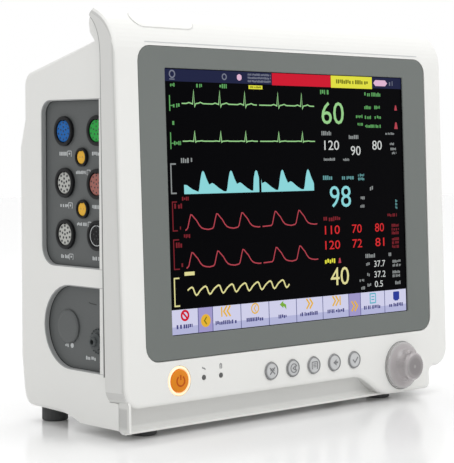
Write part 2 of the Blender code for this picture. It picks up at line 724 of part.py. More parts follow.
def make_side_panels():
    bm = bmesh.new()
    prism(bm, "X", upper_recess(3.0), PANEL_X, PANEL_X + PANEL_T)
    upper = solid("connector_panel", bm, PANEL_GREY, body_frame)
    bm = bmesh.new()
    for y, z in SOCKETS.values():
        prism(bm, "X", circle(y, z, 8.6, 20), -170.0, -150.0)
    for y, z in SMALL_SOCKETS.values():
        prism(bm, "X", circle(y, z, 5.1, 16), -170.0, -150.0)
    cut(upper, tool("panel_holes", bm, body_frame))

    bm = bmesh.new()
    prism(bm, "X", lower_recess(3.0), PANEL_X, PANEL_X + PANEL_T)
    lower = solid("hose_panel", bm, PANEL_GREY, body_frame)
    bm = bmesh.new()
    prism(bm, "X", circle(*HOSE_AT, 5.1, 16), -170.0, -150.0)
    prism(bm, "X", circle(*COVER_AT, 8.1, 20), -170.0, -150.0)
    cut(lower, tool("hose_panel_holes", bm, body_frame))


def socket(name, y, z, radius, finish, steps):
    """A round socket: a flanged shell with a pin insert set 1 mm back inside a ring groove."""
    body = radius - 2.2
    insert = radius * 0.67
    face = PANEL_X - 2.6
    profile = [(0, face + 0.9), (insert, face + 0.9), (insert, face + 2.0), (insert + 1.1, face + 2.0)]
    profile += [(insert + 1.1, face), (radius - 0.5, face), (radius, face + 0.6)]
    profile += [(radius, PANEL_X - GAP), (body, PANEL_X - GAP), (body, PANEL_X + 12.0), (0, PANEL_X + 12.0)]
    bm = bmesh.new()
    lathe(bm, "X", profile, steps)
    solid(name, bm, finish, body_frame, (0.0, y, z), smooth=35)


def make_sockets():
    finishes = (SOCKET_BLUE, SOCKET_GREEN, SOCKET_WHITE, SOCKET_BROWN, SOCKET_WHITE, SOCKET_BLACK)
    for (name, (y, z)), finish in zip(SOCKETS.items(), finishes):
        socket(name, y, z, SOCKET_R, finish, 24)
    for name, (y, z) in SMALL_SOCKETS.items():
        socket(name, y, z, SMALL_SOCKET_R, SOCKET_YELLOW, 16)

    bm = bmesh.new()
    hose = [(1.8, -167.9), (3.0, -167.9), (3.6, -167.1), (3.6, -166.0), (6.0, -165.2)]
    hose += [(6.0, -162.6), (8.4, -162.4), (8.4, PANEL_X - GAP), (4.8, PANEL_X - GAP), (4.8, -148.0)]
    hose += [(1.8, -148.0)]
    lathe(bm, "X", hose, 16)
    solid("hose_port", bm, BLACK, body_frame, (0.0, *HOSE_AT), smooth=35)

    bm = bmesh.new()
    cover = [(0, -163.4), (9.0, -163.3), (11.2, -163.0), (12.0, -162.2), (12.0, PANEL_X - GAP)]
    cover += [(7.8, PANEL_X - GAP), (7.8, -156.0), (0, -156.0)]
    lathe(bm, "X", cover, 24)
    solid("blank_cover", bm, PANEL_GREY, body_frame, (0.0, *COVER_AT), smooth=35)


# ---------------------------------------------------------------- back wall

def make_back_fittings():
    bm = bmesh.new()
    half = PLATE_SIZE / 2
    prism(bm, "Y", rounded(0.0, 0.0, half, half, 6.0, 4), 0.0, 2.0)
    plate = solid("mount_plate", bm, STEEL, body_frame, (0.0, BACK_Y + GAP, PLATE_Z))
    bm = bmesh.new()
    for x, z in plate_holes():
        prism(bm, "Y", circle(x, z, 2.2, 16), 105.0, 125.0)
    cut(plate, tool("plate_holes", bm, body_frame))

    bm = bmesh.new()
    prism(bm, "Y", rounded(0.0, 0.0, 26.5, 16.5, 3.0, 3), GAP, 2.2)
    inlet = solid("mains_inlet", bm, BLACK, body_frame, (INLET_X, BACK_Y, PORT_Z))
    bm = bmesh.new()
    prism(bm, "Y", rounded(0.0, 0.0, 23.6, 13.6, 2.0, 2), -22.0, 1.5)
    body = tool("inlet_body", bm, body_frame)
    body.location = inlet.location
    shape(inlet, "UNION", body)
    bm = bmesh.new()
    outline = [(-11.8, -7.0), (11.8, -7.0), (11.8, 3.2), (7.6, 8.0), (-7.6, 8.0), (-11.8, 3.2)]
    prism(bm, "Y", outline, -15.0, 9.0)
    cavity = tool("inlet_cavity", bm, body_frame)
    cavity.location = inlet.location
    cut(inlet, cavity)

    bm = bmesh.new()
    earth = [(0, 8.0), (2.4, 8.0), (3.0, 7.4), (3.0, 2.4), (5.5, 2.4), (5.5, GAP), (3.0, GAP)]
    earth += [(3.0, -9.0), (0, -9.0)]
    lathe(bm, "Y", earth, 16)
    solid("earth_post", bm, BRASS, body_frame, (EARTH_X, BACK_Y, PORT_Z), smooth=35)

    bm = bmesh.new()
    box(bm, -7.6, 7.6, -15.0, 0.4, -8.6, 8.6)
    usb = solid("usb_ports", bm, STEEL, body_frame, (USB_X, BACK_Y, PORT_Z))
    bm = bmesh.new()
    for z in (-4.4, 4.4):
        box(bm, USB_X - 6.4, USB_X + 6.4, BACK_Y - 11.0, BACK_Y + 9.0, PORT_Z + z - 2.7, PORT_Z + z + 2.7)
    cut(usb, tool("usb_cavities", bm, body_frame))

    bm = bmesh.new()
    box(bm, -8.6, 8.6, -18.0, 0.4, -7.6, 7.6)
    network = solid("network_port", bm, STEEL, body_frame, (NETWORK_X, BACK_Y, PORT_Z))
    bm = bmesh.new()
    box(bm, NETWORK_X - 5.9, NETWORK_X + 5.9, BACK_Y - 13.0, BACK_Y + 9.0, PORT_Z - 5.4, PORT_Z + 3.6)
    cut(network, tool("network_cavity", bm, body_frame))

    bm = bmesh.new()
    inner = [(9.6, 5.2), (8.4, -5.2), (-8.4, -5.2), (-9.6, 5.2)]
    prism(bm, "Y", inner, -10.0, 5.6)
    video = solid("video_port", bm, STEEL, body_frame, (VIDEO_X, BACK_Y, PORT_Z))
    bm = bmesh.new()
    prism(bm, "Y", rounded(0.0, 0.0, 15.6, 6.4, 2.0, 2), GAP, 1.2)
    flange = tool("video_flange", bm, body_frame)
    flange.location = video.location
    shape(video, "UNION", flange)

    for index, (x, z) in enumerate(SCREWS):
        bm = bmesh.new()
        screw = [(0, 2.3), (2.2, 2.1), (3.6, 1.2), (3.8, GAP), (2.0, GAP), (2.0, -12.0), (0, -12.0)]
        lathe(bm, "Y", screw, 12)
        wall_y = BACK_Y if z < 200.0 else UPPER_BACK_Y
        solid(f"case_screw_{index + 1}", bm, STEEL, body_frame, (x, wall_y, z), smooth=35)


def make_fan():
    half = FAN_SIZE / 2
    centre = (FAN_AT[0], BACK_Y - WALL - 9.0, FAN_AT[1])
    bm = bmesh.new()
    prism(bm, "Y", rounded(0.0, 0.0, half, half, 4.0, 3), -7.5, 7.5)
    frame = solid("fan_frame", bm, BLACK, body_frame, centre, smooth=35)
    bm = bmesh.new()
    lathe(bm, "Y", [(0, -5.0), (28.2, -5.0), (28.2, 9.0), (0, 9.0)], 28)
    bore = tool("fan_bore", bm, body_frame)
    bore.location = frame.location
    cut(frame, bore)
    bm = bmesh.new()
    for x in (-1.0, 1.0):
        for z in (-1.0, 1.0):
            box(bm, *sorted((x * 14.0, x * 27.0)), -9.0, -3.0, *sorted((z * 3.0, z * 11.0)))
    vents = tool("fan_vents", bm, body_frame)
    vents.location = frame.location
    cut(frame, vents)
    bm = bmesh.new()
    lathe(bm, "Y", [(0, -6.0), (1.5, -6.0), (1.5, 3.0), (0, 3.0)], 14)
    axle = tool("fan_axle", bm, body_frame)
    axle.location = frame.location
    shape(frame, "UNION", axle)

    bm = bmesh.new()
    hub = [(1.6, -4.4), (12.5, -4.4), (12.5, 5.4), (11.5, 6.4), (0, 6.4), (0, 3.6), (1.6, 3.6)]
    lathe(bm, "Y", hub, 14)
    rotor = solid("fan_rotor", bm, BLACK, body_frame, centre, smooth=35)
    bm = bmesh.new()
    blades = 7
    for k in range(blades):
        turn = 2 * pi * k / blades
        rings = []
        for reach in (11.0, 26.8):
            section = [(-4.4, -4.0), (-3.2, -4.0), (4.8, 5.2), (3.6, 5.2)]
            rings.append([
                (reach * cos(turn) - s * sin(turn), y, reach * sin(turn) + s * cos(turn))
                for s, y in section
            ])
        loft(bm, rings)
    blade_tool = tool("fan_blades", bm, body_frame)
    blade_tool.location = rotor.location
    shape(rotor, "UNION", blade_tool)


# ---------------------------------------------------------------- battery

def make_battery():
    y0, y1, z0, z1 = DOOR
    bm = bmesh.new()
    half = DOOR_T / 2
    prism(bm, "X", rectangle(y0 + GAP - HINGE_Y, half, z0 + GAP, z1 - GAP), -half, half)
    hinge_edges = [
        edge for edge in bm.edges
        if min(v.co.y for v in edge.verts) > half - 0.01
        and abs(edge.verts[0].co.z - edge.verts[1].co.z) > 10.0
    ]
    bmesh.ops.bevel(bm, geom=hinge_edges, offset=half - 0.1, segments=3, profile=0.5, affect="EDGES")
    hinged = solid("battery_door", bm, WHITE, body_frame, (HINGE_X, HINGE_Y, 0.0), smooth=35)
    bm = bmesh.new()
    prism(bm, "Z", circle(HINGE_X, HINGE_Y, PIN_R + 0.15, 10), z0 - 5.0, z1 + 5.0)
    cut(hinged, tool("door_bore", bm, body_frame))

    bm = bmesh.new()
    prism(bm, "Z", circle(0.0, 0.0, PIN_R, 10), z0 - 3.0, z1 + 3.0)
    solid("door_hinge_pin", bm, STEEL, body_frame, (HINGE_X, HINGE_Y, 0.0))

    bm = bmesh.new()
    box(bm, 26.0, 160.5, 33.0, 96.0, 42.0, 96.0)
    bay = solid("battery_bay", bm, STEEL, body_frame)
    bm = bmesh.new()
    box(bm, 27.5, 170.0, 34.5, 94.5, 43.5, 94.5)
    cut(bay, tool("bay_hollow", bm, body_frame))

    bm = bmesh.new()
    prism(bm, "X", rounded(64.5, 69.0, 29.4, 25.0, 3.0, 3), 30.0, 157.0)
    solid("battery_pack", bm, PACK_GREY, body_frame, smooth=35)


# ---------------------------------------------------------------- inside

def make_inside():
    bm = bmesh.new()
    sheet = [(23.5, 21.0), (98.0, 21.0), (98.0, 22.4), (25.0, 22.4), (25.0, 228.0), (23.5, 228.0)]
    prism(bm, "X", sheet, -146.0, 150.0)
    solid("chassis", bm, STEEL, body_frame)

    bm = bmesh.new()
    box(bm, -96.0, 120.0, 30.0, 31.6, 108.0, 224.0)
    solid("main_board", bm, BOARD, body_frame)

    bm = bmesh.new()
    prism(bm, "Z", rounded(-125.0, 60.0, 17.0, 33.0, 2.0, 2), 118.0, 228.0)
    solid("parameter_module", bm, STEEL, body_frame)

    bm = bmesh.new()
    box(bm, -140.0, -10.0, 38.0, 84.0, 26.0, 58.0)
    solid("power_supply", bm, STEEL, body_frame)

    bm = bmesh.new()
    lathe(bm, "X", [(0, -126.0), (13.0, -126.0), (13.5, -125.5), (13.5, -72.0), (0, -72.0)], 20)
    solid("air_pump", bm, BLACK, body_frame, (0.0, 60.0, 86.0), smooth=35)

    bm = bmesh.new()
    speaker = [(0, -16.0), (9.0, -16.0), (22.0, -8.0), (24.0, -8.0), (24.0, -5.0), (20.0, -5.0)]
    speaker += [(8.0, -1.0), (0, -1.0)]
    lathe(bm, "X", speaker, 24)
    solid("speaker", bm, BLACK, body_frame, (160.5, 72.0, 222.0), smooth=35)


def make_feet():
    for name, (x, y, radius, height) in FEET.items():
        bm = bmesh.new()
        foot = [(0, 0), (radius - 1.0, 0), (radius, 0.8), (radius, height), (0, height)]
        lathe(bm, "Z", foot, 20)
        solid(name, bm, RUBBER, body_frame, (x, y, -FLOOR_DROP), smooth=35)


make_front_housing()
make_alarm_lamp()
make_screen()
make_buttons()
make_dial()
make_rear_housing()
make_side_panels()
make_sockets()
make_back_fittings()
make_fan()
make_battery()
make_inside()
make_feet()
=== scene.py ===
"""Looks of the bedside patient monitor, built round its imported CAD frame.

Lengths are millimetres and MM turns them into metres. A place function takes two values across a
surface and one along its normal: on_face is the leaning front, on_side the left and right sides
and on_back the back wall.
"""

import random
from math import cos, pi, radians, sin

import bmesh
import bpy
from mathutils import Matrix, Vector


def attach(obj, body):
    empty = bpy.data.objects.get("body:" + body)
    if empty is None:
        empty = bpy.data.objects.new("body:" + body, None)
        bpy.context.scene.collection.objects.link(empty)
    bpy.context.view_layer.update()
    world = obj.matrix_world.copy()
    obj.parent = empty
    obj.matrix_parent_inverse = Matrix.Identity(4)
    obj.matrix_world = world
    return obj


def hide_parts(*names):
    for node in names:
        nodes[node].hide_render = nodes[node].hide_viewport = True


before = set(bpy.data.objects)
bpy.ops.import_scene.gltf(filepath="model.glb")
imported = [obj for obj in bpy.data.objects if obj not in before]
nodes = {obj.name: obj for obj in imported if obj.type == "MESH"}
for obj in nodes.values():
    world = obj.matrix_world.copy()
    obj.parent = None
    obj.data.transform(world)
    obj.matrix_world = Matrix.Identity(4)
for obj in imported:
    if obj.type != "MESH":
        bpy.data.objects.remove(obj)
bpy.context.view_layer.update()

MM = 0.001
LEAN = radians(2.45)
ORIGIN_Y = 53.5
FLOOR_DROP = 2.0
SCREEN_Z = 159.5
BACK_Y = 120.2

POWER_AT = (-119.6, -123.8)
DIAL_AT = (111.9, -134.8)
KEYS_AT = (13.0, -125.5)
KEY_PITCH = 22.15

CAMERA_AT = (-0.83021, -0.88018, 0.20168)
CAMERA_YAW = radians(42.598)
CAMERA_DOWN = radians(3.180)
CAMERA_LENS = 122.81


# ---- places

def on_face(x, v, d):
    y = d * cos(LEAN) + v * sin(LEAN) - ORIGIN_Y
    z = SCREEN_Z + FLOOR_DROP - d * sin(LEAN) + v * cos(LEAN)
    return Vector((x, y, z)) * MM


def on_side(y, z, x):
    return Vector((x, y - ORIGIN_Y, z + FLOOR_DROP)) * MM


def on_back(x, z, y):
    return on_side(y, z, x)


# ---- shapes

def arc(x, y, radius, start, end, steps):
    turns = [radians(start + (end - start) * k / steps) for k in range(steps + 1)]
    return [(x + radius * cos(turn), y + radius * sin(turn)) for turn in turns]


def circle(x, y, radius, steps=16):
    return arc(x, y, radius, 0.0, 360.0, steps)[:-1]


def rectangle(x0, x1, y0, y1):
    return [(x0, y0), (x1, y0), (x1, y1), (x0, y1)]


def rounded(x, y, half_w, half_h, radius, steps=5):
    w = half_w - radius
    h = half_h - radius
    points = []
    for dx, dy, start in ((w, -h, -90.0), (w, h, 0.0), (-w, h, 90.0), (-w, -h, 180.0)):
        points += arc(x + dx, y + dy, radius, start, start + 90.0, steps)
    return points


def bend(start, pull, end, t):
    """The point at the share t of a quadratic curve."""
    shares = ((1 - t) ** 2, 2 * t * (1 - t), t * t)
    return tuple(shares[0] * a + shares[1] * b + shares[2] * c for a, b, c in zip(start, pull, end))


def loft(bm, rings, closed=False):
    made = [[bm.verts.new(point) for point in ring] for ring in rings]
    pairs = list(zip(made, made[1:]))
    if closed:
        pairs.append((made[-1], made[0]))
    else:
        bm.faces.new(made[0])
        bm.faces.new(made[-1])
    for low, high in pairs:
        for k, corner in enumerate(low):
            after = (k + 1) % len(low)
            bm.faces.new((corner, low[after], high[after], high[k]))


def prism(bm, place, outline, low, high):
    loft(bm, [[place(a, b, along) for a, b in outline] for along in (low, high)])


def pillow(bm, place, outline, inner, low, high, soft=0.25):
    """A prism whose high face is a little smaller, so that its edge is not sharp."""
    middle = high + (low - high) * soft
    rings = [(outline, low), (outline, middle), (inner, high)]
    loft(bm, [[place(a, b, along) for a, b in points] for points, along in rings])


def lathe(bm, place, profile, steps, at=(0.0, 0.0)):
    rings = []
    for radius, along in profile:
        count = steps if radius > 0 else 1
        turns = [2 * pi * k / steps for k in range(count)]
        rings.append([
            bm.verts.new(place(at[0] + radius * cos(turn), at[1] + radius * sin(turn), along))
            for turn in turns
        ])
    for ring, after in zip(rings, rings[1:] + rings[:1]):
        if len(ring) == 1 and len(after) == 1:
            continue
        for k in range(steps):
            corners = (
                ring[k % len(ring)],
                ring[(k + 1) % len(ring)],
                after[(k + 1) % len(after)],
                after[k % len(after)],
            )
            bm.faces.new(list(dict.fromkeys(corners)))


def ribbon(bm, place, points, width, low, high):
    """A line of even width with mitred bends."""
    sides = []
    for k, (x, y) in enumerate(points):
        before = points[max(k - 1, 0)]
        after = points[min(k + 1, len(points) - 1)]
        a = Vector((x - before[0], y - before[1]))
        b = Vector((after[0] - x, after[1] - y))
        a = a.normalized() if a.length else b.normalized()
        b = b.normalized() if b.length else a
        across = Vector((-a.y - b.y, a.x + b.x))
        across = across.normalized() if across.length > 0.01 else Vector((-a.y, a.x))
        reach = width / 2 / max(0.45, across.dot(Vector((-a.y, a.x))))
        sides.append((Vector((x, y)) + across * reach, Vector((x, y)) - across * reach))
    loft(bm, [
        [place(*left, low), place(*right, low), place(*right, high), place(*left, high)]
        for left, right in sides
    ])


def ring_shape(bm, place, x, y, outer, inner, low, high, steps=24):
    lathe(bm, place, [(inner, low), (outer, low), (outer, high), (inner, high)], steps, (x, y))


def make(name, bm, material, body="case", smooth=35.0):
    bmesh.ops.recalc_face_normals(bm, faces=bm.faces[:])
    mesh = bpy.data.meshes.new(name)
    bm.to_mesh(mesh)
    bm.free()
    mesh.shade_smooth()
    mesh.set_sharp_from_angle(angle=radians(smooth))
    mesh.materials.append(material)
    piece = bpy.data.objects.new(name, mesh)
    bpy.context.scene.collection.objects.link(piece)
    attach(piece, body)
    return piece


def figures(bm, text, x0, x1, v0, v1, low, high):
    """Numerals stretched into a box on the screen."""
    curve = bpy.data.curves.new("figures", "FONT")
    curve.body = text
    curve.resolution_u = 3
    curve.extrude = 0.01
    source = bpy.data.objects.new("figures", curve)
    bpy.context.scene.collection.objects.link(source)
    bpy.context.view_layer.update()
    mesh = bpy.data.meshes.new_from_object(source.evaluated_get(bpy.context.evaluated_depsgraph_get()))
    bpy.data.objects.remove(source)
    bpy.data.curves.remove(curve)
    xs = [vertex.co.x for vertex in mesh.vertices]
    ys = [vertex.co.y for vertex in mesh.vertices]
    left, foot = min(xs), min(ys)
    wide = (x1 - x0) / (max(xs) - left)
    tall = (v1 - v0) / (max(ys) - foot)
    for vertex in mesh.vertices:
        x, y, z = vertex.co
        vertex.co = on_face(x0 + (x - left) * wide, v0 + (y - foot) * tall, low if z < 0 else high)
    welded = bmesh.new()
    welded.from_mesh(mesh)
    bmesh.ops.remove_doubles(welded, verts=welded.verts[:], dist=0.000001)
    welded.to_mesh(mesh)
    welded.free()
    bm.from_mesh(mesh)
    bpy.data.meshes.remove(mesh)


def greeked(bm, place, x0, x1, v0, v1, low, high, seed):
    """A row of blank marks that reads as small print from afar."""
    draw = random.Random(seed)
    pitch = (v1 - v0) * 0.72
    backwards = x1 < x0
    x = 0.0
    length = abs(x1 - x0)
    while x < length - 0.25 * pitch:
        width = min(pitch * draw.uniform(0.45, 0.8), length - x)
        top = v1 if draw.random() < 0.6 else v0 + 0.78 * (v1 - v0)
        foot = v0 if draw.random() < 0.8 else v0 + 0.2 * (v1 - v0)
        start = x0 - x if backwards else x0 + x
        end = start - width if backwards else start + width
        prism(bm, place, rectangle(*sorted((start, end)), foot, top), low, high)
        x += width + pitch * (0.28 if draw.random() < 0.85 else 0.8)


# ---- materials

def rgb(red, green, blue):
    """A colour as seen on a display, in the linear values that a shader takes."""
    values = [value / 255.0 for value in (red, green, blue)]
    return tuple(v / 12.92 if v <= 0.04045 else ((v + 0.055) / 1.055) ** 2.4 for v in values) + (1.0,)


def add_node(tree, kind, values=None, **settings):
    """A shader node with its settings and with plain values on its inputs."""
    made = tree.nodes.new(kind)
    for name, setting in settings.items():
        setattr(made, name, setting)
    for socket, value in (values or {}).items():
        made.inputs[socket].default_value = value
    return made


def fill_ramp(ramp, stops):
    """The ramp's own two elements become the first and the last stop."""
    elements = ramp.color_ramp.elements
    for element, (at, color) in zip(elements, (stops[0], stops[-1])):
        element.position = at
        element.color = color
    for at, color in stops[1:-1]:
        elements.new(at).color = color


SLOW_SCALE = 22.0
DENT_DEPTH = 0.00006


def finish(
    name, color, rough, blotch=0.03, grain=0.35, dent=0.25, spread=0.05, round_edge=0.25, metallic=0.0,
    coat=0.0, specular=0.5, glow=None, glow_strength=1.0, stretch=(1.0, 1.0, 1.0), transmission=0.0,
):
    """A moulded or metal surface: slow colour change, fine grain, uneven gloss and softened edges."""
    made = bpy.data.materials.new(name)
    made.use_nodes = True
    tree = made.node_tree
    shader = tree.nodes["Principled BSDF"]
    link = tree.links.new
    place = add_node(tree, "ShaderNodeTexCoord")
    stretched = add_node(tree, "ShaderNodeMapping", {"Scale": stretch})
    link(place.outputs["Object"], stretched.inputs["Vector"])
    slow = add_node(tree, "ShaderNodeTexNoise", {"Scale": SLOW_SCALE, "Detail": 3.0})
    fine = add_node(tree, "ShaderNodeTexNoise", {"Scale": 1000.0 / grain, "Detail": 2.0})
    for noise in (slow, fine):
        link(stretched.outputs["Vector"], noise.inputs["Vector"])

    red, green, blue, _ = rgb(*color)
    darker, paler = (
        tuple(min(1.0, c * change) for c in (red, green, blue)) + (1.0,)
        for change in (1.0 - blotch, 1.0 + blotch)
    )
    shade = add_node(tree, "ShaderNodeMix", data_type="RGBA")
    shade.inputs[6].default_value = darker
    shade.inputs[7].default_value = paler
    link(slow.outputs["Fac"], shade.inputs[0])
    link(shade.outputs[2], shader.inputs["Base Color"])

    gloss = add_node(tree, "ShaderNodeMapRange", {
        "To Min": max(0.02, rough - spread),
        "To Max": min(1.0, rough + spread),
    })
    link(fine.outputs["Fac"], gloss.inputs["Value"])
    link(gloss.outputs["Result"], shader.inputs["Roughness"])

    bump = add_node(tree, "ShaderNodeBump", {"Strength": dent, "Distance": DENT_DEPTH})
    link(fine.outputs["Fac"], bump.inputs["Height"])
    if round_edge:
        edge = add_node(tree, "ShaderNodeBevel", {"Radius": round_edge * MM}, samples=4)
        link(edge.outputs["Normal"], bump.inputs["Normal"])
    link(bump.outputs["Normal"], shader.inputs["Normal"])

    shader.inputs["Metallic"].default_value = metallic
    shader.inputs["Coat Weight"].default_value = coat
    shader.inputs["Coat Roughness"].default_value = 0.12
    shader.inputs["Specular IOR Level"].default_value = specular
    shader.inputs["Transmission Weight"].default_value = transmission
    if glow:
        shader.inputs["Emission Color"].default_value = rgb(*glow)
        shader.inputs["Emission Strength"].default_value = glow_strength
    return made


def lit(name, color):
    """A colour shown by the display, under its matt cover."""
    return finish(
        name, [value * 0.1 for value in color], 0.4, specular=0.02, dent=0.05, round_edge=0.0,
        glow=color,
    )


WHITE = finish("case_white_look", (232, 232, 229), 0.40, blotch=0.012, grain=0.5, dent=0.22)
FRAME = finish("frame_grey_look", (106, 111, 108), 0.55, blotch=0.03, grain=0.4, dent=0.5)
PANEL = finish("panel_grey_look", (88, 91, 91), 0.5, blotch=0.04, grain=0.45, dent=0.6)
GLASS = finish("screen_glass_look", (2, 2, 4), 0.3, specular=0.02, dent=0.04, round_edge=0.0)
STEEL = finish(
    "steel_look", (176, 177, 180), 0.34, blotch=0.06, grain=0.6, dent=0.5, metallic=1.0,
    stretch=(0.06, 1.0, 1.0), spread=0.1,
)
LAMP = finish("lamp_white_look", (236, 236, 233), 0.26, blotch=0.01, coat=0.4, dent=0.1)
ORANGE = finish("power_orange_look", (224, 134, 22), 0.4, specular=0.2, blotch=0.05, grain=0.3)
ICON_ORANGE = finish("power_mark_look", (190, 80, 0), 0.4, specular=0.2, blotch=0.05)
HALO = finish(
    "light_ring_look", (250, 236, 214), 0.35, blotch=0.02, glow=(255, 214, 150), glow_strength=0.45,
)
KEY = finish("key_grey_look", (196, 197, 198), 0.3, blotch=0.05, coat=0.5, grain=0.3)
# A darker grey for the key rims: painted shade round the keys' edges
KEY_RIM_SHADE = finish("key_rim_painted_shade_look", (138, 139, 140), 0.35, blotch=0.05)
KEY_MARK = finish("key_mark_look", (120, 121, 123), 0.4, blotch=0.05)
SMOKE = finish("led_smoke_look", (84, 85, 84), 0.3, blotch=0.05)
# Grey for print, and for the painted shadow line under the dial's edge
PRINT_AND_SHADOW_GREY = finish("print_and_shadow_grey_look", (138, 139, 139), 0.5, blotch=0.04, round_edge=0.0)
# Pale grey for print and rings, and for the painted shade line over the screen frame
PRINT_AND_SHADE_PALE = finish("print_and_shade_pale_look", (196, 199, 200), 0.5, blotch=0.08, round_edge=0.0)
MARK_DARK = finish("printed_dark_look", (38, 40, 40), 0.5, blotch=0.08, round_edge=0.0)
RUBBER = finish("rubber_look", (68, 69, 70), 0.75, blotch=0.1, grain=0.5, dent=0.9)
# Black for the socket shells, and for the painted shadow strips at the foot of the openings' walls
SHELL_AND_SHADOW_BLACK = finish("socket_shell_and_shadow_look", (15, 16, 18), 0.5, blotch=0.08, specular=0.25, dent=0.3)
HOSE = finish("hose_port_look", (62, 67, 68), 0.5, blotch=0.06, grain=0.4, dent=0.4)
WALL_GREY = finish("recess_liner_look", (158, 160, 160), 0.5, blotch=0.04)
SEAM_GREY = finish("seam_look", (150, 151, 150), 0.6, blotch=0.04)
BLACK = finish("black_plastic_look", (24, 25, 27), 0.4, blotch=0.08, grain=0.4, dent=0.4)
# Dark for the painted shade in the contact holes, the screw recesses and the video port's pin holes
HOLE_SHADE_DARK = finish("hole_shade_dark_look", (30, 32, 38), 0.35, blotch=0.08)
GOLD = finish("contact_gold_look", (214, 178, 96), 0.3, metallic=1.0, blotch=0.06)
BRASS = finish("brass_look", (196, 186, 150), 0.28, metallic=1.0, blotch=0.05, grain=0.5)
BOARD = finish("board_green_look", (28, 98, 56), 0.45, blotch=0.12, grain=0.9, dent=0.8)
PACK = finish("pack_grey_look", (110, 114, 122), 0.5, blotch=0.05)
INSERTS = {
    slot: finish(slot + "_look", color, rough, specular=specular, blotch=blotch)
    for slot, color, rough, specular, blotch in (
        ("socket_blue", (8, 96, 172), 0.38, 0.2, 0.06),
        ("socket_green", (38, 164, 66), 0.38, 0.2, 0.06),
        ("socket_white", (182, 183, 178), 0.38, 0.3, 0.05),
        ("socket_brown", (158, 92, 82), 0.38, 0.5, 0.06),
        ("socket_black", (12, 12, 14), 0.45, 0.2, 0.06),
        ("socket_yellow", (232, 178, 50), 0.38, 0.3, 0.06),
    )
}

# Painted shade on the front housing: share of the white on a face, by the square of its normal's
# sideways part, darkest on the rounded edge and lower on the sides
SIDE_PAINTED_SHADES = (
    (0.0, 1.0), (0.20, 1.0), (0.42, 0.88), (0.65, 0.72), (0.92, 0.72), (0.985, 0.85), (1.0, 0.85),
)
# Painted shade in the cove of the plinth: its share of the white, and the object-space bounds in metres
# where it falls
COVE_PAINTED_SHADE = 0.77
COVE_BACK = (-0.0586, -0.0570)
COVE_FOOT = (0.0070, 0.0105)
COVE_TOP = (0.0218, 0.0236)


def painted_front_shade():
    """The case white with painted shade: greyer on the faces that look sideways and in the cove of the
    plinth.
    """
    made = finish("front_white_painted_shade_look", (232, 232, 229), 0.40, blotch=0.012, grain=0.5, dent=0.22)
    tree = made.node_tree
    link = tree.links.new
    color = tree.nodes["Principled BSDF"].inputs["Base Color"]
    plain = color.links[0].from_socket
    place = add_node(tree, "ShaderNodeTexCoord")

    def parts(socket):
        split = add_node(tree, "ShaderNodeSeparateXYZ")
        link(socket, split.inputs["Vector"])
        return split.outputs

    def span(socket, low, high, at_low, at_high):
        share = add_node(tree, "ShaderNodeMapRange", {
            "From Min": low, "From Max": high, "To Min": at_low, "To Max": at_high,
        })
        link(socket, share.inputs["Value"])
        return share.outputs["Result"]

    def times(first, second):
        product = add_node(tree, "ShaderNodeMath", operation="MULTIPLY")
        link(first, product.inputs[0])
        link(second, product.inputs[1])
        return product.outputs["Value"]

    side = parts(place.outputs["Normal"])["X"]
    ramp = add_node(tree, "ShaderNodeValToRGB")
    fill_ramp(ramp, [(at, (share, share, share, 1.0)) for at, share in SIDE_PAINTED_SHADES])
    link(times(side, side), ramp.inputs["Fac"])
    spot = parts(place.outputs["Object"])
    behind = span(spot["Y"], *COVE_BACK, 0.0, 1.0)
    above = span(spot["Z"], *COVE_FOOT, 0.0, 1.0)
    below = span(spot["Z"], *COVE_TOP, 1.0, 0.0)
    hollow = times(times(behind, above), below)
    cove = span(hollow, 0.0, 1.0, 1.0, COVE_PAINTED_SHADE)
    shaded = add_node(tree, "ShaderNodeVectorMath", operation="SCALE")
    link(plain, shaded.inputs[0])
    link(times(ramp.outputs["Color"], cove), shaded.inputs["Scale"])
    link(shaded.outputs["Vector"], color)
    return made


# Painted highlight rings and a painted darker core: grey level by the distance from the dial's axis, as
# a share of DIAL_SPAN millimetres
DIAL_PAINTED_LEVELS = (
    (0.0, 190), (0.05, 184), (0.09, 150), (0.30, 156), (0.44, 190), (0.52, 222), (0.62, 208),
    (0.80, 214),
)
DIAL_RIM_HIGHLIGHT = (0.90, rgb(224, 222, 222))
DIAL_SPAN = 20.0


def dial_painted_light():
    """Clear grip, with painted highlight rings and a painted darker core."""
    made = finish(
        "dial_clear_painted_light_look", (186, 184, 184), 0.16, blotch=0.04, coat=0.8, dent=0.08, transmission=0.5,
    )
    tree = made.node_tree
    link = tree.links.new
    place = add_node(tree, "ShaderNodeTexCoord")
    offset = add_node(tree, "ShaderNodeVectorMath", {1: on_face(*DIAL_AT, -8.0)}, operation="SUBTRACT")
    flat = add_node(tree, "ShaderNodeVectorMath", {1: (1 / MM, 0.0, 1 / MM)}, operation="MULTIPLY")
    reach = add_node(tree, "ShaderNodeVectorMath", operation="LENGTH")
    share = add_node(tree, "ShaderNodeMath", {1: DIAL_SPAN}, operation="DIVIDE")
    ramp = add_node(tree, "ShaderNodeValToRGB")
    fill_ramp(ramp, [(at, rgb(level, level - 6, level - 5)) for at, level in DIAL_PAINTED_LEVELS] + [DIAL_RIM_HIGHLIGHT])
    link(place.outputs["Object"], offset.inputs[0])
    link(offset.outputs["Vector"], flat.inputs[0])
    link(flat.outputs["Vector"], reach.inputs[0])
    link(reach.outputs["Value"], share.inputs[0])
    link(share.outputs["Value"], ramp.inputs["Fac"])
    link(ramp.outputs["Color"], tree.nodes["Principled BSDF"].inputs["Base Color"])
    return made


FRONT_SHADED_WHITE = painted_front_shade()
DIAL_PAINTED_LIGHT = dial_painted_light()

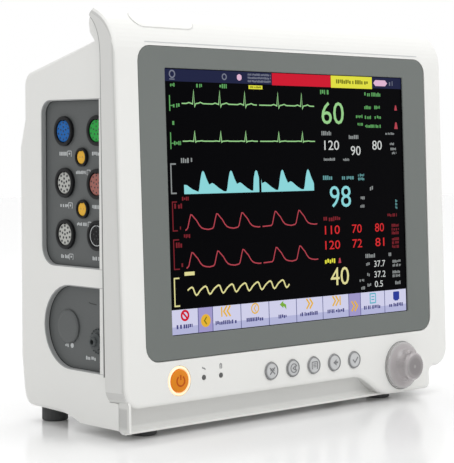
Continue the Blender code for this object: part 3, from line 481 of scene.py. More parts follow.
NODE_LOOKS = (
    (FRONT_SHADED_WHITE, "front_housing"), (WHITE, "rear_housing battery_door"), (FRAME, "screen_frame"),
    (GLASS, "screen_glass"), (LAMP, "alarm_lamp_lens"), (ORANGE, "power_button"),
    (HALO, "power_button_ring"), (SMOKE, "mains_led battery_led"), (DIAL_PAINTED_LIGHT, "dial"), (HOSE, "hose_port"),
    (KEY, "function_key_1 function_key_2 function_key_3 function_key_4 function_key_5"),
    (PANEL, "connector_panel hose_panel blank_cover"), (BRASS, "earth_post"), (PACK, "battery_pack"),
    (RUBBER, "screen_gasket foot_front_left foot_front_right foot_rear_left foot_rear_right"),
    (BOARD, "alarm_lamp_board key_board main_board"),
    (BLACK, "mains_inlet fan_frame fan_rotor air_pump speaker"),
    (STEEL, "lcd_panel lcd_bracket dial_shaft dial_encoder mount_plate usb_ports network_port "
            "video_port door_hinge_pin battery_bay chassis parameter_module power_supply "
            "case_screw_1 case_screw_2 case_screw_3 case_screw_4"),
)
for look, names in NODE_LOOKS:
    for name in names.split():
        for slot in nodes[name].material_slots:
            slot.material = look


# ---- what the screen shows

SHOW_LAYER = (2.56, 2.52)
TOP_LAYER = (2.52, 2.47)
SIGN_LAYER = (2.47, 2.43)
ACTIVE_X = 122.9
ACTIVE_V = 92.15
MENU_V = -74.9
MENU_STEP_V = -86.8
MENU_EDGES = (-122.9, -98.4, -84.7, -57.3, -29.2, -0.8, 27.4, 56.0, 69.3, 97.2, 122.9)
MENU_GAP = 0.35
BAR_V = 83.6
GAP_X = (-35.6, -33.3)
TRACE_START = -107.9
TRACE_END = 23.8
PULSE_END = 21.4
SPIKES = (-96.6, -71.9, -47.5, -14.1, 10.6)
PULSES = (-90.0, -63.2, -38.3, -11.7, 15.3)
WAVES = (-102.2, -77.8, -53.3, -19.8, 4.8)
BREATH_START = -107.5
BREATH_END = -5.8
BREATH_PITCH = 12.72
BEAT_WIDTH = 0.82
WAVE_WIDTH = 0.85
BREATH_WIDTH = 1.15

SHOW_LOOKS = {
    "green": (150, 205, 138), "soft_green": (92, 160, 92), "white": (205, 208, 206),
    "soft_white": (138, 142, 142), "dim_white": (118, 122, 138), "cyan": (138, 212, 216),
    "soft_cyan": (96, 150, 152), "red": (176, 66, 78), "figure_red": (214, 44, 48),
    "dark_red": (120, 34, 42), "cream": (222, 216, 150), "yellow": (224, 222, 66),
    "navy": (32, 36, 66), "bar_red": (204, 26, 48), "menu": (206, 206, 232),
    "menu_low": (178, 180, 216), "menu_purple": (158, 150, 200), "menu_line": (84, 88, 140),
    "menu_print": (66, 66, 124), "icon_yellow": (226, 176, 52), "icon_teal": (92, 176, 196),
    "icon_green": (120, 170, 60), "icon_navy": (42, 58, 150), "icon_pink": (222, 180, 208),
    "print_dark": (110, 112, 24),
}
for name, color in SHOW_LOOKS.items():
    SHOW_LOOKS[name] = lit("show_" + name, color)


class Shown:
    """One colour on the screen: shapes are added to it, and it becomes one piece."""

    def __init__(self, name, look, layer=SHOW_LAYER):
        self.name = "show_" + name
        self.look = SHOW_LOOKS[look]
        self.layer = layer
        self.bm = bmesh.new()

    def box(self, x0, x1, v0, v1):
        self.shape(rectangle(x0, x1, v0, v1))

    def shape(self, points):
        prism(self.bm, on_face, points, *self.layer)

    def line(self, points, width):
        ribbon(self.bm, on_face, points, width, *self.layer)

    def print(self, x0, x1, v0, v1, seed):
        greeked(self.bm, on_face, x0, x1, v0, v1, *self.layer, seed)

    def number(self, text, x0, x1, v0, v1):
        figures(self.bm, text, x0, x1, v0, v1, *self.layer)

    def disc(self, x, v, radius):
        self.shape(circle(x, v, radius, 20))

    def ring(self, x, v, outer, inner):
        ring_shape(self.bm, on_face, x, v, outer, inner, *self.layer)

    def bracket(self, x, reach, v0, v1, width):
        self.line([(x + reach, v1), (x, v1), (x, v0), (x + reach, v0)], width)

    def done(self):
        make(self.name, self.bm, self.look)


def traces(beats, shape, base, end=TRACE_END):
    """Points of a repeating trace, split where the sweep erases it."""
    points = [(TRACE_START, base)]
    for beat in beats:
        points += [(beat + dx, base + dv) for dx, dv in shape if beat + dx > points[-1][0] + 0.05]
    points = [point for point in points if point[0] < end] + [(end, base)]
    left = [point for point in points if point[0] < GAP_X[0]] + [(GAP_X[0], base)]
    right = [(GAP_X[1], base)] + [point for point in points if point[0] > GAP_X[1]]
    return left, right


def show_bar():
    navy = Shown("bar_navy", "navy")
    navy.box(-ACTIVE_X, -19.7, BAR_V, ACTIVE_V)
    navy.box(89.1, ACTIVE_X, BAR_V, ACTIVE_V)
    navy.done()
    red = Shown("bar_red", "bar_red")
    red.box(-19.6, 42.5, BAR_V - 0.4, ACTIVE_V)
    red.done()
    yellow = Shown("bar_yellow", "yellow")
    yellow.box(42.8, 89.0, BAR_V - 0.7, ACTIVE_V)
    yellow.box(-43.4, -29.6, 79.9, 82.6)
    yellow.done()
    dark = Shown("bar_print", "print_dark", TOP_LAYER)
    dark.print(48.5, 85.0, 86.2, 89.4, 3)
    dark.print(-42.0, -31.0, 80.6, 82.0, 4)
    dark.done()
    pink = Shown("bar_pink", "icon_pink", TOP_LAYER)
    pink.shape([(90.6, 87.7), (93.0, 85.4), (104.2, 85.4), (106.8, 87.7), (104.2, 90.0), (93.0, 90.0)])
    pink.disc(-52.4, 88.0, 2.3)
    pink.box(-54.6, -50.2, 86.6, 89.4)
    pink.done()
    pale = Shown("bar_marks", "dim_white", TOP_LAYER)
    pale.ring(-116.0, 88.6, 2.9, 1.9)
    pale.box(-118.6, -113.8, 84.7, 85.4)
    pale.ring(-67.0, 88.0, 2.4, 1.5)
    for row in range(3):
        pale.print(-44.0, -21.0, 84.8 + 2.4 * row, 86.4 + 2.4 * row, 10 + row)
    pale.print(109.0, 113.0, 86.0, 89.6, 14)
    pale.done()


def show_traces():
    beat = ((-7.0, 0.0), (-4.6, 0.7), (-2.4, 0.1), (-1.2, -0.3), (0.0, 9.3), (0.7, -2.0), (1.8, 0.0),
            (4.4, 0.4), (6.2, 1.0), (8.6, 0.1))
    green = Shown("traces_green", "green")
    weak = [(dx, dv * 0.3 if dv < 9 else 6.9) for dx, dv in beat]
    for points in traces(SPIKES, beat, 68.4) + traces(SPIKES, weak, 42.1):
        green.line(points, BEAT_WIDTH)
    green.done()
    soft = Shown("marks_green", "soft_green")
    for base, span in ((68.4, (63.0, 73.9)), (42.3, (36.6, 48.2))):
        soft.line([(-118.9, span[0]), (-118.9, span[1])], 0.9)
        soft.line([(-118.9, base - 1.6), (-115.8, base - 1.6)], 0.6)
        soft.print(-116.0, -109.6, base - 2.9, base - 0.1, int(base))
    soft.print(-118.0, -113.7, 79.9, 82.4, 21)
    soft.print(-93.9, -88.6, 79.8, 82.3, 22)
    soft.print(-71.9, -64.7, 79.8, 82.8, 23)
    soft.print(-117.0, -115.0, 53.4, 56.8, 24)
    soft.done()

    pulse = ((-4.6, 0.8), (-3.8, 3.2), (-2.6, 9.2), (-1.2, 14.2), (0.0, 15.5), (1.2, 14.4), (3.2, 9.8),
             (5.6, 5.7), (7.2, 6.3), (8.6, 6.8), (10.4, 6.0), (15.0, 3.0), (19.6, 0.7), (21.6, 0.6))
    base = 5.2
    left, right = traces(PULSES, pulse, base + 0.6, PULSE_END)
    left = [(TRACE_START, base + 6.6), (-105.4, base + 6.3), (-100.0, base + 3.2)] + left[1:-1]
    left = left + [(GAP_X[0], base + 10.4)]
    right = [(GAP_X[1], base + 9.6)] + right[1:-1] + [(PULSE_END, base + 5.2)]
    cyan = Shown("pulse_cyan", "cyan")
    for points in (left, right):
        for (x0, v0), (x1, v1) in zip(points, points[1:]):
            cyan.shape([(x0, base), (x1, base), (x1, max(v1, base + 0.3)), (x0, max(v0, base + 0.3))])
    cyan.done()
    grey = Shown("marks_grey", "soft_white")
    grey.bracket(-119.5, 4.6, 6.0, 26.3, 1.0)
    grey.print(-110.1, -98.9, 27.0, 30.4, 31)
    grey.done()

    wave = ((-4.6, 0.4), (-3.4, 1.6), (-1.6, 7.4), (-0.4, 10.6), (0.8, 10.4), (3.2, 8.0), (5.0, 6.4),
            (7.4, 3.0), (9.4, 1.2), (12.0, 0.3), (16.0, -0.2))
    red = Shown("traces_red", "red")
    for base in (-19.9, -46.4):
        for points in traces(WAVES, wave, base):
            red.line(points, WAVE_WIDTH)
    red.done()
    dark = Shown("marks_red", "dark_red")
    dark.bracket(-119.1, 4.2, -20.0, 0.0, 0.8)
    dark.bracket(-119.0, 5.0, -46.7, -26.3, 0.8)
    dark.print(-117.4, -110.4, -4.6, -1.2, 41)
    dark.print(-110.2, -103.3, 0.8, 3.4, 42)
    dark.print(-112.8, -111.0, -19.2, -16.6, 43)
    dark.print(-109.4, -103.4, -25.4, -22.8, 44)
    dark.print(-117.0, -110.1, -31.8, -28.2, 45)
    dark.print(-112.4, -110.6, -45.3, -42.8, 46)
    dark.done()

    breath = ((0.0, -61.9), (2.6, -60.4), (4.1, -60.0), (5.2, -60.7), (7.0, -64.8), (8.1, -65.8),
              (9.4, -65.2), (11.0, -63.4))
    points = []
    for cycle in range(9):
        start = BREATH_START + BREATH_PITCH * cycle
        points += [(start + dx, v) for dx, v in breath]
    cream = Shown("trace_cream", "cream")
    cream.line([point for point in points if point[0] < BREATH_END], BREATH_WIDTH)
    cream.bracket(-119.4, 4.6, -72.3, -53.0, 1.0)
    cream.box(-109.9, -100.6, -51.6, -49.0)
    cream.done()


NUMBERS = (
    ("green", "green", (("60", 31.7, 56.1, 55.2, 16.8),)),
    ("cyan", "cyan", (("98", 38.3, 61.6, -8.1, 16.3),)),
    ("cream", "cream", (("40", 36.8, 57.1, -67.5, 13.7),)),
    ("white", "white", (
        ("120", 33.8, 50.0, 35.6, 7.2), ("90", 63.0, 74.0, 31.4, 7.2), ("80", 87.6, 98.6, 35.6, 7.2),
        ("37.7", 86.1, 98.9, -55.8, 4.9), ("37.2", 86.0, 99.0, -64.0, 4.9),
        ("0.5", 86.3, 95.7, -71.6, 4.9),
    )),
    ("red", "figure_red", (
        ("110", 31.9, 48.2, -28.4, 6.6), ("70", 62.0, 72.9, -28.4, 6.6), ("80", 88.2, 98.6, -28.4, 6.6),
        ("120", 31.9, 48.2, -39.8, 6.6), ("72", 62.0, 72.9, -39.8, 6.6), ("81", 88.2, 98.6, -39.8, 6.6),
    )),
)


def show_readings():
    for name, look, numbers in NUMBERS:
        shown = Shown("numbers_" + name, look)
        for text, x0, x1, v0, height in numbers:
            shown.number(text, x0, x1, v0, v0 + height)
        shown.done()


def show_small_print():
    def prints(name, look, rows, seed):
        marks = Shown(name, look)
        for index, row in enumerate(rows):
            marks.print(*row, seed + index)
        marks.done()

    prints("print_green", "soft_green", (
        (30.8, 40.0, 77.7, 81.0), (80.0, 98.4, 77.2, 80.2), (79.6, 87.1, 67.2, 69.9),
        (91.1, 98.3, 67.3, 70.0), (69.8, 77.2, 60.2, 62.7), (79.9, 87.4, 59.6, 62.1),
        (91.2, 99.1, 59.8, 62.3), (71.4, 77.3, 54.3, 56.4), (80.1, 98.5, 52.8, 55.2),
    ), 100)
    prints("print_white", "soft_white", (
        (31.0, 41.5, 46.7, 49.9), (61.1, 71.8, 44.0, 47.0), (103.2, 113.4, 47.4, 49.2),
        (108.2, 113.0, 39.2, 41.2), (108.8, 115.4, 35.2, 37.2), (110.5, 115.5, 32.0, 34.0),
        (32.8, 45.0, 27.5, 29.6), (54.0, 60.8, 27.2, 29.2), (83.6, 87.9, 4.0, 7.4),
        (72.7, 77.2, -2.8, -0.5), (72.2, 76.7, -9.1, -6.8), (69.0, 74.0, -66.4, -64.0),
        (70.7, 74.8, -72.5, -70.1), (76.4, 88.1, -48.3, -45.2), (103.3, 106.4, -48.1, -45.4),
        (77.0, 81.0, -54.3, -51.9), (107.7, 117.2, -56.6, -54.4), (107.7, 117.2, -53.6, -51.4),
        (77.9, 81.4, -62.7, -60.0), (107.4, 116.8, -65.0, -62.8), (107.4, 116.8, -62.0, -59.8),
        (77.9, 81.9, -70.6, -68.2), (110.3, 116.6, -70.8, -68.1),
    ), 200)
    prints("print_cyan", "soft_cyan", (
        (31.4, 42.1, 13.0, 16.2), (52.3, 65.9, 12.9, 16.1), (70.4, 77.2, 12.1, 14.2),
        (70.4, 77.2, 15.0, 17.1), (112.9, 115.1, -11.1, -9.0), (112.9, 115.1, -8.4, -6.3),
        (112.9, 115.1, -5.7, -3.7),
    ), 300)
    prints("print_red", "dark_red", (
        (30.7, 50.0, -18.4, -15.0), (103.2, 114.1, -17.1, -14.7), (107.7, 116.1, -25.2, -22.9),
        (107.7, 116.1, -28.2, -25.9), (107.7, 116.1, -31.2, -28.9), (107.8, 116.2, -36.0, -33.7),
        (107.8, 116.2, -39.0, -36.7), (107.8, 116.2, -42.0, -39.7),
    ), 400)
    prints("print_yellow", "yellow", ((31.1, 43.2, -50.4, -46.9),), 500)
    bells = Shown("bells", "red")
    for x, v, size in ((116.1, 68.6, 2.0), (116.0, 54.6, 2.6), (47.3, -48.7, 1.9)):
        bells.shape([(x - 0.8 * size, v - size), (x + 0.8 * size, v - size), (x + 0.3 * size, v + size),
                     (x - 0.3 * size, v + size)])
    bells.done()


def chevrons(shown, x, v, size, way, count):
    for k in range(count):
        middle = x + (k - (count - 1) / 2) * size * 0.9
        shown.line([(middle - way * size * 0.4, v + size), (middle + way * size * 0.4, v),
                    (middle - way * size * 0.4, v - size)], size * 0.36)


def show_menu():
    light = Shown("menu_light", "menu")
    low = Shown("menu_low", "menu_low")
    purple = Shown("menu_purple", "menu_purple")
    for k, (x0, x1) in enumerate(zip(MENU_EDGES, MENU_EDGES[1:])):
        edges = (x0 + MENU_GAP, x1 - MENU_GAP)
        if k in (1, 7):
            purple.box(*edges, -ACTIVE_V, MENU_V)
            continue
        light.box(*edges, MENU_STEP_V, MENU_V)
        low.box(*edges, -ACTIVE_V, MENU_STEP_V)
    lines = Shown("menu_lines", "menu_line")
    for x in MENU_EDGES[1:-1]:
        lines.box(x - 0.34, x + 0.34, -ACTIVE_V, MENU_V)
    for shown in (light, low, purple, lines):
        shown.done()
    words = Shown("menu_words", "menu_print", TOP_LAYER)
    rows = ((-118.6, -103.9), (-82.2, -60.9), (-52.0, -35.0), (-19.7, -11.4), (3.0, 21.8), (32.3, 50.8),
            (73.1, 92.0), (102.3, 120.1))
    for k, (x0, x1) in enumerate(rows):
        words.print(x0, x1, -88.2, -85.4, 600 + k)
    words.done()
    amber = Shown("menu_amber", "icon_yellow", TOP_LAYER)
    amber.disc(-91.4, -84.2, 4.6)
    chevrons(amber, -70.8, -79.0, 3.8, -1, 2)
    amber.box(-76.6, -75.4, -82.6, -75.6)
    amber.ring(-43.2, -79.0, 4.0, 3.0)
    chevrons(amber, -43.2, -79.0, 2.4, -1, 1)
    chevrons(amber, 13.1, -79.4, 3.8, 1, 2)
    chevrons(amber, 41.4, -79.2, 3.8, 1, 2)
    amber.box(45.8, 47.0, -82.8, -75.8)
    chevrons(amber, 62.4, -84.6, 3.9, 1, 2)
    amber.done()
    dark = Shown("menu_chevron", "print_dark", SIGN_LAYER)
    chevrons(dark, -91.6, -84.2, 2.6, -1, 1)
    dark.done()
    red = Shown("menu_stop", "bar_red", TOP_LAYER)
    red.ring(-110.6, -79.2, 4.0, 2.4)
    red.line([(-113.0, -76.8), (-108.2, -81.6)], 1.4)
    red.done()
    green = Shown("menu_back", "icon_green", TOP_LAYER)
    green.shape([(-18.2, -78.0), (-14.4, -75.4), (-14.4, -77.0), (-11.6, -78.4), (-11.4, -82.0),
                 (-13.4, -79.8), (-14.4, -79.4), (-14.4, -80.8)])
    green.done()
    teal = Shown("menu_page", "icon_teal", TOP_LAYER)
    teal.bracket(80.4, 6.2, -83.6, -76.4, 1.0)
    teal.line([(86.6, -83.6), (86.6, -76.4)], 1.0)
    for v in (-81.4, -79.2):
        teal.box(81.8, 85.2, v, v + 0.9)
    teal.done()
    navy = Shown("menu_tile", "icon_navy", TOP_LAYER)
    navy.shape(rounded(110.9, -79.6, 3.6, 3.2, 0.8, 3))
    navy.box(108.8, 113.0, -83.6, -82.6)
    navy.done()


show_bar()
show_traces()
show_readings()
show_small_print()
show_menu()


# ---- front controls

def dress_power_button():
    bm = bmesh.new()
    x, v = POWER_AT
    ribbon(bm, on_face, arc(x, v, 3.5, 125.0, 415.0, 26), 1.1, -1.35, -1.56)
    ribbon(bm, on_face, [(x, v + 0.6), (x, v + 4.2)], 1.1, -1.35, -1.58)
    make("power_mark", bm, ICON_ORANGE, "power_button")


def dress_key(index):
    """A raised rim round the cap, in a darker grey that paints the shade at the key's edge, and one
    simple sign on it.
    """
    x = KEYS_AT[0] + (index - 3) * KEY_PITCH
    v = KEYS_AT[1]
    body = f"function_key_{index}"
    bm = bmesh.new()
    rim = [(5.5, -1.2), (5.7, -1.52), (6.1, -1.42), (6.42, -0.7), (6.42, -0.3), (5.6, -0.3)]
    lathe(bm, on_face, rim, 40, (x, v))
    make(f"key_rim_{index}", bm, KEY_RIM_SHADE, body)

    bm = bmesh.new()

    def line(points, width, lift=0.0):
        ribbon(bm, on_face, points, width, -1.36, -1.62 - lift)

    if index == 1:
        line([(x - 2.4, v + 2.4), (x + 2.4, v - 2.4)], 0.9)
        line([(x - 2.4, v - 2.4), (x + 2.4, v + 2.4)], 0.9, 0.05)
        line(arc(x, v, 1.7, 0.0, 180.0, 10), 0.6)
    elif index == 2:
        line(arc(x, v, 3.2, 20.0, 340.0, 22), 0.7)
        line([(x - 1.3, v), (x + 1.5, v + 1.4), (x + 1.5, v - 1.4), (x - 1.3, v)], 0.7)
    elif index == 3:
        line(rounded(x, v, 2.9, 2.6, 0.8, 3), 0.7)
        for k in (-1, 0, 1):
            line([(x - 1.6, v + 1.1 * k), (x + 1.6, v + 1.1 * k)], 0.5)
    elif index == 4:
        arrow = [(x - 2.2, v), (x + 1.2, v + 2.3), (x + 1.2, v + 0.7), (x + 2.8, v + 0.7),
                 (x + 2.8, v - 0.7), (x + 1.2, v - 0.7), (x + 1.2, v - 2.3)]
        prism(bm, on_face, arrow, -1.36, -1.62)
    else:
        line([(x - 2.6, v + 0.4), (x - 0.4, v - 1.9), (x + 3.0, v + 2.0)], 0.9)
    make(f"key_mark_{index}", bm, KEY_MARK, body)


def dress_lamps():
    """A plug sign and a battery sign over the two small lamps."""
    bm = bmesh.new()
    skin = (0.06, -0.08)
    plug = [(-98.4, -116.4), (-97.3, -117.2), (-96.4, -117.3), (-95.3, -118.2)]
    ribbon(bm, on_face, plug, 0.95, *skin)
    ribbon(bm, on_face, rounded(-80.7, -117.2, 0.75, 1.5, 0.4, 3), 0.9, *skin)
    prism(bm, on_face, rectangle(-81.0, -80.4, -115.4, -114.9), *skin)
    make("lamp_marks", bm, PRINT_AND_SHADOW_GREY)


DIAL_RIBS = 36
RIB_HALF = 0.28
RIB_REACH = (10.7, 11.24)
RIB_DEPTH = (-7.4, -12.6)


def dress_dial():
    """Grip ribs round the cap and a painted shadow line under the dial's edge."""
    x, v = DIAL_AT
    bm = bmesh.new()
    for k in range(DIAL_RIBS):
        turn = 2 * pi * k / DIAL_RIBS
        across = (-sin(turn) * RIB_HALF, cos(turn) * RIB_HALF)
        near, far = RIB_REACH
        outline = [
            (x + reach * cos(turn) + side * across[0], v + reach * sin(turn) + side * across[1])
            for reach, side in ((near, -1), (near, 1), (far, 1), (far, -1))
        ]
        prism(bm, on_face, outline, *RIB_DEPTH)
    make("dial_ribs", bm, DIAL_PAINTED_LIGHT, "dial")
    # A grey ring of painted shadow under the dial's edge
    bm = bmesh.new()
    lathe(bm, on_face, [(18.5, -0.12), (19.1, -0.12), (19.1, 0.05), (18.5, 0.05)], 64, DIAL_AT)
    make("dial_shadow_line", bm, PRINT_AND_SHADOW_GREY)


def dress_frame():
    """A thin pale grey strip of painted shade along the crease over the screen frame."""
    bm = bmesh.new()
    ribbon(bm, on_face, [(-141.0, 109.9), (141.0, 109.9)], 0.5, 1.6, 0.95)
    make("frame_shade_line", bm, PRINT_AND_SHADE_PALE)


SEAM_FOOT = (20.9, -118.0)
SEAM_CURVE = ((14.2, 101.5), (14.2, 121.6), (26.55, 129.3))
SEAM_SECTION = ((165.35, 0.03), (169.1, 0.03), (169.1, 0.7), (165.35, 0.7))


def dress_seams():
    """A grey rim behind the front housing's edge, along the parting line of both sides."""
    line = [SEAM_FOOT, SEAM_CURVE[0]] + [bend(*SEAM_CURVE, k / 8) for k in range(1, 8)]
    for side, word in ((-1, "left"), (1, "right")):
        bm = bmesh.new()
        loft(bm, [[on_face(side * x, v, d + depth) for x, depth in SEAM_SECTION] for d, v in line])
        make(f"seam_rim_{word}", bm, SEAM_GREY)


# The swept surface over the screen in depth and height, and the share of it that the lamp takes
SWEEP = ((0.0, 99.0), (0.0, 124.4), (22.8, 133.9))
LAMP_SPAN = (0.50, 0.88)
LAMP_X = -117.5
LAMP_HALF = 27.5


def dress_alarm_lamp():
    """A pale seal in the narrow gap round the lamp, just under the swept surface."""
    low, high = (Vector(bend(*SWEEP, t)) for t in LAMP_SPAN)
    middle = (low + high) / 2
    along = (high - low).normalized()
    out = Vector((-along.y, along.x))

    def top(s):
        """Height of the swept surface over the chord, at the distance s from its middle."""
        offsets = [Vector(bend(*SWEEP, k / 400)) - middle for k in range(401)]
        return min(offsets, key=lambda offset: abs(offset.dot(along) - s)).dot(out)

    rings = []
    edge = (high - low).length / 2
    for grow, under in ((0.36, 0.12), (0.04, 0.12), (0.04, 1.2), (0.36, 1.2)):
        ring = []
        for x, s in rounded(0.0, 0.0, LAMP_HALF + grow, edge + grow, min(edge + grow - 0.1, 7.9), 5):
            point = middle + along * s + out * (top(s) - under)
            ring.append(on_face(LAMP_X + x, point.y, point.x))
        rings.append(ring)
    bm = bmesh.new()
    loft(bm, rings, closed=True)
    make("alarm_lamp_seal", bm, LAMP)


dress_power_button()
for index in range(1, 6):
    dress_key(index)
dress_lamps()
dress_dial()
dress_frame()
dress_seams()
dress_alarm_lamp()


# ---- left side

PANEL_X = -161.2
SOCKETS = {
    "spo2_socket": (69.0, 208.5, 192.7, "socket_blue"),
    "ecg_socket": (31.5, 208.7, 192.9, "socket_green"),
    "pressure_socket_1": (68.2, 172.3, 156.4, "socket_white"),
    "output_socket": (31.5, 172.0, 156.2, "socket_brown"),
    "pressure_socket_2": (67.6, 136.1, 120.4, "socket_white"),
    "gas_socket": (31.5, 136.5, 120.6, "socket_black"),
}
SMALL_SOCKETS = {
    "temperature_socket_1": (48.6, 190.4, 179.8, "socket_yellow"),
    "temperature_socket_2": (47.7, 154.4, 143.8, "socket_yellow"),
}
SOCKET_RADIUS = 10.5
SMALL_SOCKET_RADIUS = 6.6
LABEL_SKIN = (PANEL_X + 0.05, PANEL_X - 0.12)


def dress_socket(name, y, z, slot, radius):
    """A black shell round a coloured insert, with dark discs that paint the shade of its contact holes,
    in place of the CAD node.
    """
    face = PANEL_X - 2.6
    foot = PANEL_X - 0.3
    wall = radius * 0.76
    skirt = radius - 2.3 if wall < radius - 2.3 else wall + 0.6
    bm = bmesh.new()
    shell = [(wall, PANEL_X + 8.0), (wall, face + 0.5), (wall + 0.5, face), (radius - 0.8, face),
             (radius - 0.15, face + 0.35), (radius, face + 0.9), (radius, foot), (skirt, foot),
             (skirt, PANEL_X + 8.0)]
    lathe(bm, on_side, shell, 48, (y, z))
    tab = [(y - 0.8, z + wall - 0.9), (y + 0.8, z + wall - 0.9), (y + 0.8, z + wall + 0.6),
           (y - 0.8, z + wall + 0.6)]
    prism(bm, on_side, tab, face + 3.0, face + 0.35)
    piece = make(name + "_shell", bm, SHELL_AND_SHADOW_BLACK)
    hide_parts(name)

    bm = bmesh.new()
    insert = wall - 0.25
    core = [(0, face + 0.9), (insert - 0.5, face + 0.9), (insert, face + 1.3), (insert, PANEL_X + 7.0),
            (0, PANEL_X + 7.0)]
    lathe(bm, on_side, core, 40, (y, z))
    make(name + "_insert", bm, INSERTS[slot])

    bm = bmesh.new()
    if slot == "socket_yellow":
        pin = [(0, face + 1.4), (0.75, face + 1.4), (0.75, face + 0.72), (0.45, face + 0.6),
               (0, face + 0.6)]
        for dy in (-1.5, 1.5):
            lathe(bm, on_side, pin, 14, (y + dy, z))
        make(name + "_contacts", bm, GOLD)
        return
    if slot == "socket_black":
        ring_shape(bm, on_side, y, z, insert - 0.5, insert - 1.0, face + 1.4, face + 0.75, 40)
        make(name + "_ring", bm, PRINT_AND_SHADE_PALE)
        bm = bmesh.new()
    # Dark discs on the insert: painted shade of the contact holes
    spots = [(0.0, 0.0)]
    for reach, count, start in ((0.38, 5, 90.0), (0.76, 10, 18.0)):
        spots += [(reach * insert * cos(radians(start + 360.0 * k / count)),
                   reach * insert * sin(radians(start + 360.0 * k / count))) for k in range(count)]
    size = 0.85 if slot == "socket_white" else 0.62
    hole = [(0, face + 1.4), (size, face + 1.4), (size, face + 0.78), (size - 0.2, face + 0.7),
            (0, face + 0.7)]
    for dy, dz in spots:
        lathe(bm, on_side, hole, 10, (y + dy, z + dz))
    make(name + "_contacts", bm, HOLE_SHADE_DARK)


def dress_labels():
    """Blank marks under the sockets, each with a small outlined sign."""
    bm = bmesh.new()
    rows = []
    for y, _, z, _ in SOCKETS.values():
        rows.append((y + 6.6, y - 2.2, z, 2.6))
        ribbon(bm, on_side, rounded(y - 5.0, z, 2.2, 1.9, 0.5, 3), 0.5, *LABEL_SKIN)
        prism(bm, on_side, circle(y - 5.0, z, 0.8, 10), *LABEL_SKIN)
    for y, _, z, _ in SMALL_SOCKETS.values():
        rows.append((y + 7.8, y - 3.0, z, 2.3))
        ribbon(bm, on_side, rounded(y - 6.4, z, 1.8, 1.7, 0.5, 3), 0.5, *LABEL_SKIN)
    rows += [(70.0, 65.6, 57.4, 2.4), (46.0, 34.4, 50.8, 2.6)]
    prism(bm, on_side, circle(62.0, 57.8, 1.8, 16), *LABEL_SKIN)
    for k, (y0, y1, z, height) in enumerate(rows):
        greeked(bm, on_side, y0, y1, z - height / 2, z + height / 2, *LABEL_SKIN, 700 + k)
    make("panel_labels", bm, PRINT_AND_SHADE_PALE)
    bm = bmesh.new()
    ribbon(bm, on_side, [(42.5, 89.6), (40.0, 89.0), (34.0, 88.6)], 0.7, *LABEL_SKIN)
    make("hose_panel_mark", bm, MARK_DARK)


def recess_outline(kind, grow):
    """The two openings of the left side, grow outside their edge, with the front edge kept."""
    y0 = 20.8
    if kind == "upper":
        y1, z0, z1 = 92.0, 113.5, 230.5
        low, high = 14.0, 10.0
        turns = arc(y1 - low, z0 + low, low + grow, 270.0, 360.0, 10)
        turns += arc(y1 - high, z1 - high, high + grow, 0.0, 90.0, 10)
    else:
        z0, z1 = 71.2 - 29.8, 71.2 + 29.8
        turns = arc(59.7, 71.2, 29.8 + grow, 270.0, 450.0, 28)
    return [(y0, z0 - grow)] + turns + [(y0, z1 + grow)]


RECESS_PARTS = (
    ("liner", WALL_GREY, (
        (-0.04, -165.2), (-0.3, -165.26), (-0.75, -165.0), (-0.75, -161.6), (-0.04, -161.6),
    )),
    # A black strip of painted shadow in the corner between the wall and the panel
    ("shadow_line", SHELL_AND_SHADOW_BLACK, ((-0.05, -161.58), (-1.0, -161.58), (-1.0, -161.3), (-0.05, -161.3))),
)


def dress_recesses():
    """A grey sheet on the wall of each opening and a black strip of painted shadow where the wall meets
    the panel.
    """
    for kind in ("upper", "lower"):
        for word, look, section in RECESS_PARTS:
            outlines = [recess_outline(kind, grow) for grow, _ in section]
            bm = bmesh.new()
            loft(bm, [
                [on_side(*point, x) for point, (_, x) in zip(points, section)]
                for points in zip(*outlines)
            ])
            make(f"recess_{word}_{kind}", bm, look, smooth=50.0)


def dress_recess_ends():
    """The thin white edge that closes each opening to the front."""
    for word, low, high in (("upper", 113.7, 230.3), ("lower", 41.6, 100.8)):
        bm = bmesh.new()
        prism(bm, on_side, rectangle(20.9, 25.3, low, high), -165.25, -164.1)
        make(f"recess_end_{word}", bm, WHITE)


def dress_hose_port():
    """Grip teeth round the hose port."""
    bm = bmesh.new()
    for point in circle(31.0, 63.5, 8.35, 20):
        prism(bm, on_side, circle(*point, 0.55, 8), -161.6, -162.9)
    make("hose_port_grip", bm, HOSE)


for sockets, radius in ((SOCKETS, SOCKET_RADIUS), (SMALL_SOCKETS, SMALL_SOCKET_RADIUS)):
    for name, (y, z, _, slot) in sockets.items():
        dress_socket(name, y, z, slot, radius)
dress_labels()
dress_recesses()
dress_recess_ends()
dress_hose_port()


# ---- back and right side

UPPER_BACK_Y = 114.3
BACK_SKIN = (BACK_Y - 0.05, BACK_Y + 0.12)
INLET_AT = (-112.0, 74.0)
PORTS_Z = 74.0
EARTH_X = -70.0
VIDEO_X = 52.0
SCREW_HEAD = (
    (0, -11.0), (2.0, -11.0), (2.0, 0.3), (3.8, 0.3), (3.75, 1.2), (3.0, 1.9), (1.6, 2.25), (0, 2.3),
)


def on_wall(bm, x0, x1, z0, z1, low, high):
    """A block between two depths from the back wall."""
    prism(bm, on_back, rectangle(x0, x1, z0, z1), BACK_Y + low, BACK_Y + high)


